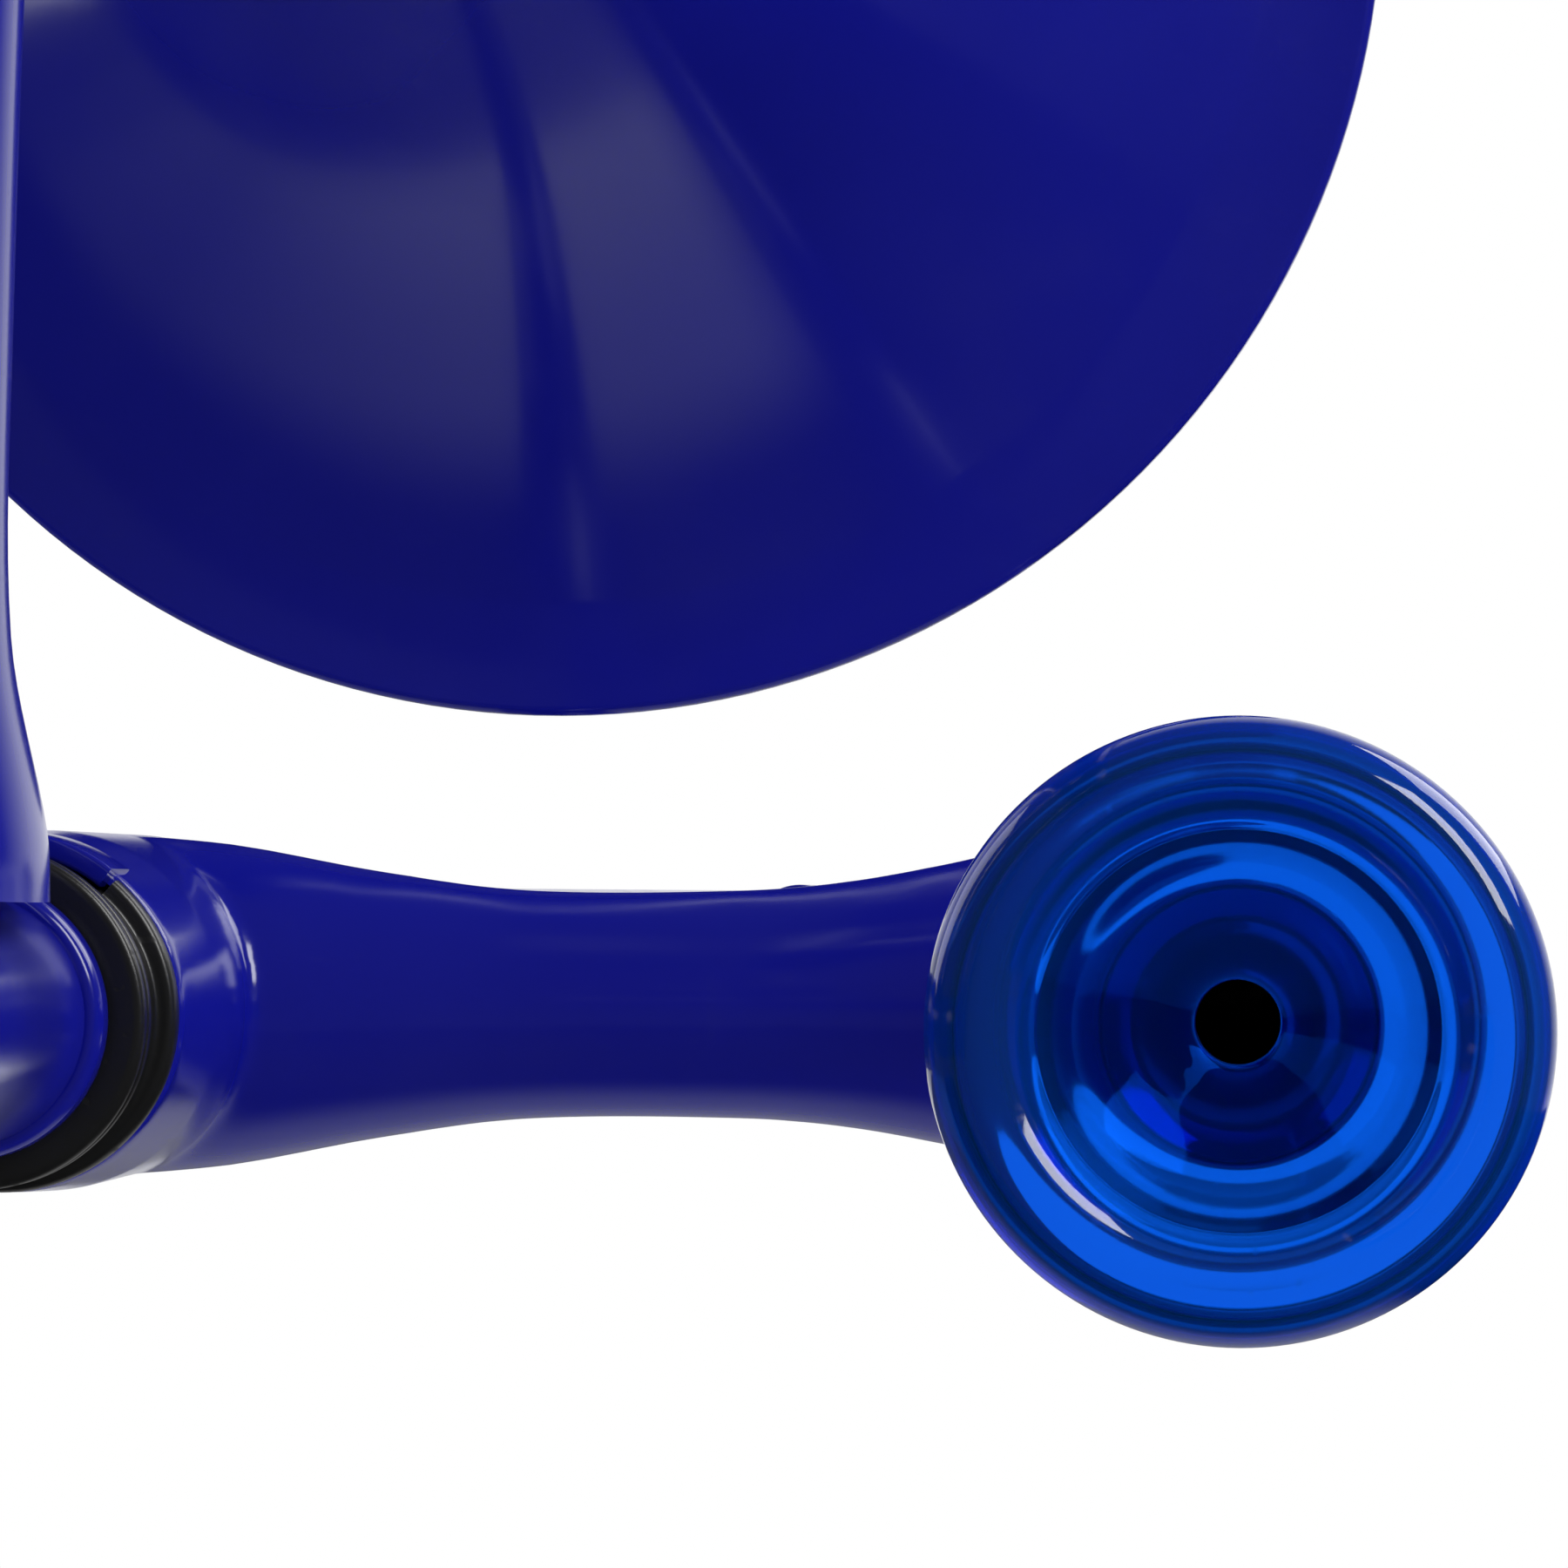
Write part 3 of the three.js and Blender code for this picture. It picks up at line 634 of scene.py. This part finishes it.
def makeHandBrace(look):
    low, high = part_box("hand_brace")
    back, front = low.y / mm, high.y / mm
    middle = (back + front) / 2
    solids = [moved(waisted(look["span"], look["depth"], axis="X"), joint.x, middle)]
    cuts = []
    for x in (joint.x, mouth.x):
        sleeve, lip = look["sleeve"], look["lip"]
        outline = roundedOutline([
            (0, back, 0), (sleeve - 0.4, back, 0.8), (sleeve, back + lip, 0.6), (sleeve, front - lip, 0.6),
            (sleeve - 0.4, front, 0.8), (0, front, 0)])
        solids.append(moved(turned(outline, closed=False), x))
        cuts.append(moved(rod(look["bore"], back - 5, front + 5, 96), x))
    hang(moulded("handBrace", solids, cuts), "hand_brace")


makeHandBrace(handBrace)

crook = {"outer": 9.3, "bore": 7.6, "leg": 25}
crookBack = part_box("crook")[0].y / mm
crookBody = moved(bentTube(crook["outer"], crook["bore"], crook["leg"], slideSpacing / 2), 0, crookBack)
hang(meshObject("crookBend", crookBody), "crook")

bumper = {"neck": 8.4, "waist": 8.6, "belly": 9.15, "face": 6.6, "groove": 0.5}


def makeBumper(look):
    low, high = (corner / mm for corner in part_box("crook_bumper"))
    face, root, waist = high.y, low.y, look["waist"]
    side = roundedOutline([
        (look["neck"], root, 0.5), (look["belly"], root + 2, 0.8), (waist, face - 6.2, 0.2),
        (waist - look["groove"], face - 5.8, 0.2), (waist, face - 5.4, 0.2), (waist, face - 2.5, 1.2),
        (look["face"], face, 1.2)])
    # the last corner stays sharp, so that the face is flat to its edge
    outline = [Vector((0, root))] + side[:-3] + [Vector((look["face"], face)), Vector((0, face))]
    body = meshObject("crookBumper", turned(outline, 96, False))
    space = moved(bentTube(crook["outer"] + clearance, 0, crook["leg"], slideSpacing / 2), 0, crookBack)
    combine(body, meshObject("crookSpace", space), "DIFFERENCE")
    hang(body, "crook_bumper")


makeBumper(bumper)

lock = {
    "radius": 12.8, "bore": 9.6, "back": 89, "front": 102, "margin": 2.5, "flutes": 28, "fluteDepth": 0.28,
    # an arm from the collar, a foot that stands before the barrel's stud, and the arm's root
    "hookOuter": 15.2,
    "hook": (
        {"inner": 13.1, "from": 34, "to": 56, "back": 76, "front": 92.5},
        {"inner": 13.1, "from": 17, "to": 56, "back": 72, "front": 77},
        {"inner": 12, "from": 34, "to": 56, "back": 89.5, "front": 98.5},
    ),
}


def makeLockCollar(look):
    outline = tubeOutline(look["radius"], look["bore"], look["back"], look["front"], 1.0)
    ring = turned(outline, look["flutes"] * 8)
    margin = look["margin"]
    for vert in ring.verts:
        radius = math.hypot(vert.co.x, vert.co.z)
        outside = radius > (look["radius"] - 0.5) * mm
        if outside and look["back"] + margin < vert.co.y / mm < look["front"] - margin:
            angle = math.atan2(vert.co.x, vert.co.z)
            cut = look["fluteDepth"] * (0.5 - 0.5 * math.cos(angle * look["flutes"])) * mm
            vert.co.x *= (radius - cut) / radius
            vert.co.z *= (radius - cut) / radius
    body = meshObject("lockCollar", ring)
    for part in look["hook"]:
        piece = ringSector(
            part["inner"], look["hookOuter"], part["from"], part["to"], part["back"], part["front"], 0.5)
        combine(body, meshObject("hook", piece), "UNION")
    body.data.transform(Matrix.Translation((mouth.x * mm, 0, 0)))
    hang(body, "lock_collar")


makeLockCollar(lock)
print("outer slide built")


# water key: all of it hangs from the pin and the drain hole in the CAD model
pivot = Place("key_pin")
pivotY = (pivot.back + pivot.front) / 2
drain = Place("key_pad")
drainY = (drain.back + drain.front) / 2


def atPin(bm, turn=None):
    # moves a shape from the origin to the middle of the key's pin
    return moved(bm, joint.x, pivotY, pivot.z, turn)


def makePad():
    low, high = (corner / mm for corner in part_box("key_pad"))
    edge = roundedOutline([(drain.radius, low.z, 0.3), (drain.radius, high.z, 0.4)])
    seat = turned([Vector((0, low.z))] + edge + [Vector((0, high.z))], 48, False, "Z")
    hang(meshObject("keyPad", moved(seat, joint.x, drainY)), "key_pad")


makePad()

nipple = {"bore": 1.6, "tip": 2.6, "neck": 3.1, "neckDrop": 2.4, "flange": 4.4, "flangeDepth": 0.9}


def makeNipple(look):
    low, high = (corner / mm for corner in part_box("key_nipple"))
    bore, flange = look["bore"], look["flange"]
    spout = roundedOutline([
        (bore, low.z, 0.2), (look["tip"], low.z, 0.4), (look["neck"], high.z - look["neckDrop"], 0.6),
        (flange, high.z - look["flangeDepth"], 0.4), (flange, high.z, 0.2), (bore, high.z, 0)])
    body = meshObject("keyNipple", moved(turned(spout, 48, True, "Z"), joint.x, drainY))
    pipe = moved(rod(crook["outer"] + clearance, drainY - 12, drainY + 12, 96), joint.x)
    hang(combine(body, meshObject("pipe", pipe), "DIFFERENCE"), "key_nipple")


makeNipple(nipple)

saddle = {
    "halfWidth": 7, "top": -8, "floor": -13.4, "hole": 1.35,
    "lugs": (-6.6, 4.6), "lugWidth": 2, "lugReach": 3.4, "lugTop": -13,
}


def makeSaddle(look):
    low, high = (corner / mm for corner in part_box("key_saddle"))
    half, reach = look["halfWidth"], look["lugReach"]
    body = meshObject("keySaddle", roundedBlock(
        (joint.x - half, low.y, look["floor"]), (joint.x + half, high.y, look["top"]), 0.6))
    for x in look["lugs"]:
        corner = (joint.x + x + look["lugWidth"], pivotY + reach, look["lugTop"])
        lug = roundedBlock((joint.x + x, pivotY - reach, low.z), corner, 0.5)
        combine(body, meshObject("lug", lug), "UNION")
    ferrule = Place("crook_ferrule_bell_side").radius
    space = moved(rod(ferrule + clearance, pivotY - 10, pivotY + 10, 96), joint.x)
    combine(body, meshObject("ferruleSpace", space), "DIFFERENCE")
    hole = atPin(rod(look["hole"], -12, 12, 32, "X"))
    combine(body, meshObject("hole", hole), "DIFFERENCE")
    hang(body, "key_saddle")


makeSaddle(saddle)

pin = {"radius": 1.1, "reach": 8}


def makePin(look):
    r, reach = look["radius"], look["reach"]
    outline = roundedOutline([(0, -reach, 0), (r, -reach, 0.3), (r, reach, 0.3), (0, reach, 0)])
    hang(meshObject("keyPin", atPin(turned(outline, 32, False, "X"))), "key_pin")


makePin(pin)

lever = {
    "hub": 2.9, "hubBore": 1.4, "hubWidth": 4.2, "cup": 5.0, "cupDepth": 3,
    "paddle": 6.0, "paddleStretch": 1.22, "paddleReach": 27, "paddleDrop": 5.6, "slope": 0.2,
}


def makeLever(look):
    hub = atPin(turned(tubeOutline(look["hub"], look["hubBore"], -look["hubWidth"], 0, 0.4), 48, True, "X"))
    armFrom = (joint.x - 4, pivotY + 1.5, pivot.z - 1.6)
    arm = roundedBlock(armFrom, (joint.x - 0.4, drainY, pivot.z + 1.2), 0.4)
    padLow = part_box("key_pad")[0] / mm
    cupTop = padLow.z - clearance
    cup = moved(rod(look["cup"], cupTop - look["cupDepth"], cupTop, 48, "Z"), joint.x, drainY)
    slope = Matrix.Rotation(look["slope"], 4, "X")
    tail = atPin(roundedBlock((-4, -26, -1.5), (-0.4, -1.5, 1.5), 0.4), slope)
    oval = slope @ Matrix.Diagonal((1, look["paddleStretch"], 1, 1))
    paddle = moved(rod(look["paddle"], -1.2, 1.35, 48, "Z"), joint.x - 1, pivotY - look["paddleReach"],
                   pivot.z - look["paddleDrop"], oval)
    pinSpace = atPin(rod(look["hubBore"], -12, 12, 32, "X"))
    body = moulded("keyLever", [hub, arm, cup, tail, paddle], [pinSpace], voxel=0.28, passes=5)
    hang(body, "key_lever")


makeLever(lever)

spring = {"wire": 0.38, "coil": 2.5, "turns": 3, "stepsPerTurn": 28, "pitch": 0.95, "tail": 5.5}


def makeSpring(look):
    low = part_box("key_spring")[0] / mm
    bm = bmesh.new()
    startX = low.x + look["wire"]
    place = Matrix.Translation((startX * mm, (pivotY - look["tail"]) * mm, (pivot.z + look["coil"]) * mm))
    place = place @ Matrix.Rotation(math.pi / 2, 4, "X")
    circle = bmesh.ops.create_circle(bm, segments=12, radius=look["wire"] * mm, cap_ends=False, matrix=place)
    edges = list({edge for vert in circle["verts"] for edge in vert.link_edges})
    caps = list(edges)
    for stage in ("tail", "coil", "tail"):
        if stage == "tail":
            made = bmesh.ops.extrude_edge_only(bm, edges=edges)["geom"]
            verts = [part for part in made if isinstance(part, bmesh.types.BMVert)]
            bmesh.ops.translate(bm, verts=verts, vec=(0, look["tail"] * mm, 0))
            ring = set(verts)
            edges = [part for part in made if isinstance(part, bmesh.types.BMEdge)]
            edges = [edge for edge in edges if set(edge.verts) <= ring]
        else:
            steps = look["turns"] * look["stepsPerTurn"]
            made = bmesh.ops.spin(
                bm,
                geom=list({vert for edge in edges for vert in edge.verts}) + edges,
                cent=(startX * mm, pivotY * mm, pivot.z * mm),
                axis=(-1, 0, 0),
                angle=math.tau * look["turns"],
                steps=steps,
                dvec=(look["pitch"] * look["turns"] * mm / steps, 0, 0),
            )["geom_last"]
            edges = [part for part in made if isinstance(part, bmesh.types.BMEdge)]
    for loop in (caps, edges):
        bmesh.ops.holes_fill(bm, edges=loop)
    bmesh.ops.recalc_face_normals(bm, faces=bm.faces)
    hang(meshObject("keySpring", bm), "key_spring")


makeSpring(spring)
print("water key built")


# bell section, built upright on the joint and then tilted with it
horn = {
    "inner": 99.0, "reach": 31.0, "power": 0.8, "wall": 1.9, "stations": 110, "crowding": 2.2,
    "lipDepth": 2.2, "bead": 2.75, "beadDepth": 4.6,
}


def hornRadius(back):
    return horn["inner"] * (horn["reach"] / (horn["reach"] + back)) ** horn["power"]


def makeBell(look):
    rimY = bellAxis.front
    length = bellAxis.length
    inner, outer = [], []
    for i in range(look["stations"] + 1):
        # the stations crowd towards the rim, where the flare turns fastest
        share = i / look["stations"]
        back = min(length * (1 - share) ** look["crowding"] + look["lipDepth"] * share, length)
        radius = hornRadius(back)
        slope = look["power"] * radius / (look["reach"] + back)
        inner.append(Vector((radius, rimY - back)))
        if back > look["beadDepth"]:
            away = math.hypot(1, slope)
            wall = look["wall"] / away
            outer.append(Vector((radius + wall, rimY - back - wall * slope)))
    outer[0].y = inner[0].y
    edge, bead = look["inner"], look["bead"]
    lip = roundedOutline([
        (edge - 0.6, rimY - 4.4, 0), (edge + bead, rimY - look["beadDepth"], 1.8), (edge + bead, rimY, 1.6),
        (edge - 1.0, rimY, 1.2), (inner[-1].x, inner[-1].y, 0)], 7)
    outline = outer + lip[1:-1] + inner[::-1]
    hangTurned("bell", outline, 192)


makeBell(horn)

tenon = {"bore": 6.6, "shank": 8.65, "collar": 9.9}
at = Place("joint_tenon")
bore, shank, collar = tenon["bore"], tenon["shank"], tenon["collar"]
hangTurned("joint_tenon", roundedOutline([
    (bore, at.back, 0.3), (collar - 0.5, at.back, 0.5), (collar, at.back + 0.8, 0.6),
    (collar, at.back + 2.8, 0.4), (shank, at.back + 3.6, 0.4), (shank, at.front - 1, 0.4),
    (shank - 0.5, at.front, 0.4), (bore, at.front, 0.3)]), 128)

# the pipe's back half is bored wider, to take the leg of the tuning slide
neck = {"front": 8.9, "rear": 9.8, "bore": 6.8, "legBore": 8.3, "legMeets": -135}
neckEnds = Place("neck_pipe")
bore, legBore = neck["bore"], neck["legBore"]
hangTurned("neck_pipe", roundedOutline([
    (legBore, neckEnds.back, 0.3), (neck["rear"], neckEnds.back, 0.4), (neck["front"], neckEnds.front, 0.4),
    (bore, neckEnds.front, 0.3), (bore, neck["legMeets"] + 5, 0), (legBore, neck["legMeets"], 0)]), 96)

bellBraces = {
    "front_brace": {"foot": 9.0, "waist": 5.2, "head": 10.0, "depth": 1.6},
    "rear_brace": {"foot": 8.6, "waist": 5.2, "head": 9.4, "depth": 1.3},
}


def stemOuter(y):
    return hornRadius(bellAxis.front - y) + horn["wall"]


for node, look in bellBraces.items():
    low, high = (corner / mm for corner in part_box(node))
    y = (low.y + high.y) / 2
    foot, waist, head = look["foot"], look["waist"], look["head"]
    knots = [(8.4, foot), (13, foot * 0.96), (26, waist * 1.12), (46, waist), (84, waist),
             (102, waist * 1.15), (113, head * 0.93), (124, head)]
    bar = moved(waisted(knots, look["depth"]), 0, y)
    bar.transform(atBell)
    ends = [(stemOuter(end) + clearance, end) for end in (y - 30, y + 30)]
    stem = turned([(0, ends[0][1])] + ends + [(0, ends[1][1])], 96, False)
    stem = moved(stem, bellAxis.x, 0, bellAxis.z)
    ends = [(neck["rear"] + clearance, neckEnds.back), (neck["front"] + clearance, neckEnds.front)]
    pipe = moved(turned([(0, neckEnds.back)] + ends + [(0, neckEnds.front)], 96, False), joint.x)
    body = meshObject(node + ".spindle", bar)
    for tool in (stem, pipe):
        combine(body, meshObject("tube", tool), "DIFFERENCE")
    hang(body, node)
print("bell section built")


# tuning slide
bow = {"outer": 10.2, "bore": 8.6, "leg": 33}
bowFront = Place("tuning_bow").front
bowTurn = Matrix.Rotation(-math.pi / 2, 4, "Y") @ Matrix.Rotation(math.pi, 4, "Z")


def bowShape(outer, bore, leg, front):
    half = bellHeight / 2
    shape = moved(bentTube(outer, bore, leg, half, steps=72), 0, front, half, bowTurn)
    shape.transform(atBell)
    return shape


hang(meshObject("tuningBow", bowShape(bow["outer"], bow["bore"], bow["leg"], bowFront)), "tuning_bow")

tuningBrace = {
    "knots": [(4, 8), (14, 7.4), (26, 5.6), (44, 5), (86, 5), (104, 5.6), (116, 7.4), (126, 8)],
    "depth": 1.1, "waist": 5,
}
low, high = (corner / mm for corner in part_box("tuning_brace"))
braceY = (low.y + high.y) / 2
bar = moved(waisted(tuningBrace["knots"], tuningBrace["depth"]), 0, braceY)
bar.transform(atBell)
brace = meshObject("tuningBrace", bar)
overrun = 27
legSpace = bowShape(bow["outer"] + clearance, 0, bow["leg"] + overrun, bowFront + overrun)
combine(brace, meshObject("legSpace", legSpace), "DIFFERENCE")
hang(brace, "tuning_brace")

weight = {"radius": 17, "stretch": 1.15, "equator": 0.6}


def makeCounterweight(look):
    half = look["radius"]
    knots = [(half * math.cos(math.radians(a)), half * look["stretch"] * math.sin(math.radians(a)))
             for a in range(-90, 91, 5)]
    outline = []
    for radius, along in knots:
        groove = look["equator"] if abs(along) < 0.5 else 0
        outline.append((max(radius - groove, 0), along))
    ball = moved(turned(outline, 96, False, "Z"), 0, braceY, bellHeight / 2)
    waist = tuningBrace["waist"] * tuningBrace["depth"]
    space = moved(rod(waist + clearance, -60, 60, 72, "Z"), 0, braceY, bellHeight / 2)
    for part in (ball, space):
        part.transform(atBell)
    body = combine(meshObject("counterweight.ball", ball), meshObject("space", space), "DIFFERENCE")
    hang(body, "counterweight")


makeCounterweight(weight)
print("tuning slide built")


# mouthpiece: the underside of the rim is flat, so that light comes straight through the crest
cup = {
    "bowl": [(2.9, -44), (2.95, -49), (4.5, -52), (7.6, -55.6), (10.0, -60.4), (11.5, -66.5), (12.4, -71.2)],
    "rim": [(12.8, -73.4), (13.6, -74.8), (14.9, -75.7), (16.4, -76), (17.7, -75.6), (18.7, -74.6),
            (19.3, -73.2), (19.5, -71.8)],
    "outside": [(19.3, -70.6), (18.8, -69.9), (17.8, -69.2), (17.0, -69.0), (16.2, -68.95), (15.8, -68.6),
                (15.6, -67.8), (15.4, -66.0), (14.8, -62.5), (13.4, -57.5), (10.7, -51), (8.6, -43),
                (6.9, -29)],
    "shank": [(6.2, -22), (5.75, 8)],
    "backbore": [(4.9, 8)],
}
cupCurve = smoothOutline(cup["bowl"] + cup["rim"] + cup["outside"], 6)
hangTurned("mouthpiece", cupCurve + [Vector(p) for p in cup["shank"] + cup["backbore"]], 160)
print("mouthpiece built")


# studio
floorLook = {
    # in gloss the floor is painted black outside the pale patch and by half inside it (mirrored): painted
    # shade
    "drop": 0.55, "size": 5.0, "middle": (-0.6, 1.1), "colour": (0.80, 0.80, 0.80), "mirrored": 0.5,
    "paleEdges": ((0, 0.42, 0.22, 0.0), (1, -0.06, 0.26, 0.0), (0, -1.1, 0.05, 0.3)),
    "fadeMiddle": (-0.04, 0.25, -0.55), "fade": (0.6, 1.6),
}


def makeFloor(look):
    bm = bmesh.new()
    bmesh.ops.create_grid(bm, x_segments=1, y_segments=1, size=look["size"] / 2)
    bm.transform(Matrix.Translation((*look["middle"], -look["drop"])))
    floor = meshObject("floor", bm)
    material = bpy.data.materials.new("floor paint")
    material.use_nodes = True
    tree = material.node_tree
    shader = tree.nodes["Principled BSDF"]
    shader.inputs["Base Color"].default_value = (*look["colour"], 1)
    shader.inputs["Roughness"].default_value = 0.9
    # in gloss the floor is painted black outside a pale patch in front and to the left, and half black
    # inside it: painted shade, as if the rest were in shade
    paintedShade = tree.nodes.new("ShaderNodeBsdfDiffuse")
    paintedShade.inputs["Color"].default_value = (0, 0, 0, 1)
    spot = tree.nodes.new("ShaderNodeSeparateXYZ")
    link(tree, tree.nodes.new("ShaderNodeTexCoord").outputs["Object"], spot.inputs[0])
    pale = look["mirrored"]
    for axis, start, end, least in look["paleEdges"]:
        edge = mapRange(tree, spot.outputs[axis], start, end, least, 1)
        edge.node.interpolation_type = "SMOOTHSTEP"
        pale = sums(tree, "MULTIPLY", edge, pale)
    path = tree.nodes.new("ShaderNodeLightPath").outputs
    mirrored = sums(tree, "SUBTRACT", path["Is Glossy Ray"], path["Is Transmission Ray"])
    mix = tree.nodes.new("ShaderNodeMixShader")
    link(tree, sums(tree, "MULTIPLY", mirrored, sums(tree, "SUBTRACT", 1.0, pale)), mix.inputs[0])
    link(tree, shader.outputs[0], mix.inputs[1])
    link(tree, paintedShade.outputs[0], mix.inputs[2])
    # seen directly, the floor fades into the white of the room well outside the object
    reach = tree.nodes.new("ShaderNodeVectorMath")
    reach.operation = "DISTANCE"
    reach.inputs[1].default_value = look["fadeMiddle"]
    link(tree, spot.inputs[0].links[0].from_socket, reach.inputs[0])
    fade = mapRange(tree, reach.outputs["Value"], *look["fade"], 0, 1)
    fade.node.interpolation_type = "SMOOTHSTEP"
    faded = tree.nodes.new("ShaderNodeMixShader")
    link(tree, sums(tree, "MULTIPLY", path["Is Camera Ray"], fade), faded.inputs[0])
    link(tree, mix.outputs[0], faded.inputs[1])
    link(tree, tree.nodes.new("ShaderNodeBsdfTransparent").outputs[0], faded.inputs[2])
    link(tree, faded.outputs[0], tree.nodes["Material Output"].inputs["Surface"])
    floor.data.materials.append(material)


makeFloor(floorLook)

# white behind the object, an even light on it, and dim in its gloss except straight ahead
roomLook = {"light": 0.52, "mirrored": 0.05, "backdrop": (0.65, 0.92), "backdropGlow": 1.5}


def makeRoom(look):
    world = bpy.data.worlds.new("studio")
    world.use_nodes = True
    tree = world.node_tree
    path = tree.nodes.new("ShaderNodeLightPath")
    dimmed = sums(tree, "MULTIPLY", path.outputs["Is Glossy Ray"], look["mirrored"] - look["light"])
    room = sums(tree, "ADD", dimmed, look["light"])
    heading = tree.nodes.new("ShaderNodeSeparateXYZ")
    link(tree, tree.nodes.new("ShaderNodeTexCoord").outputs["Generated"], heading.inputs[0])
    backdrop = mapRange(tree, heading.outputs["Y"], *look["backdrop"], 0.0, 1.0)
    through = sums(tree, "MULTIPLY", path.outputs["Is Transmission Ray"], look["backdropGlow"])
    bent = sums(tree, "MAXIMUM", through, path.outputs["Is Glossy Ray"])
    seen = sums(tree, "MAXIMUM", path.outputs["Is Camera Ray"], sums(tree, "MULTIPLY", bent, backdrop))
    strength = sums(tree, "ADD", sums(tree, "MULTIPLY", room, sums(tree, "SUBTRACT", 1.0, seen)), seen)
    background = tree.nodes["Background"]
    background.inputs["Color"].default_value = (1, 1, 1, 1)
    link(tree, strength, background.inputs["Strength"])
    scene.world = world


makeRoom(roomLook)

softboxes = {
    "side": {"at": (1.05, -0.60, 0.85), "aim": (0, 0.0, 0.0), "size": (0.5, 0.9), "power": 14},
    "top": {"at": (1.4, 1.2, 1.3), "aim": (0, 0.3, 0), "size": (1.2, 1.2), "power": 18},
    "left": {"at": (-1.7, 0.9, 0.7), "aim": (0, 0.3, 0.05), "size": (1.4, 1.4), "power": 9},
}
for name, look in softboxes.items():
    light = bpy.data.lights.new(name, "AREA")
    light.shape = "RECTANGLE"
    light.size, light.size_y = look["size"]
    light.energy = look["power"]
    lamp = bpy.data.objects.new(name, light)
    scene.collection.objects.link(lamp)
    lamp.location = look["at"]
    lamp.rotation_euler = (Vector(look["aim"]) - Vector(look["at"])).to_track_quat("-Z", "Y").to_euler()

view = {
    "fromRim": (-0.7, -337.3, 8.45), "direction": (-0.0803, 1.0, 0.0202), "roll": -0.1,
    "lens": 126.6, "sensor": 36.0,
}
camera = bpy.data.objects.new("camera", bpy.data.cameras.new("camera"))
camera.data.lens = view["lens"]
camera.data.sensor_width = view["sensor"]
camera.data.clip_start = 0.01
camera.data.clip_end = 50
camera.location = (Vector((mouth.x, mouth.back, mouth.z)) + Vector(view["fromRim"])) * mm
roll = Matrix.Rotation(math.radians(view["roll"]), 3, "Z")
turn = Vector(view["direction"]).to_track_quat("-Z", "Y").to_matrix() @ roll
camera.rotation_euler = turn.to_euler()
scene.collection.objects.link(camera)
scene.camera = camera
scene.view_settings.view_transform = "Standard"
print("studio ready")
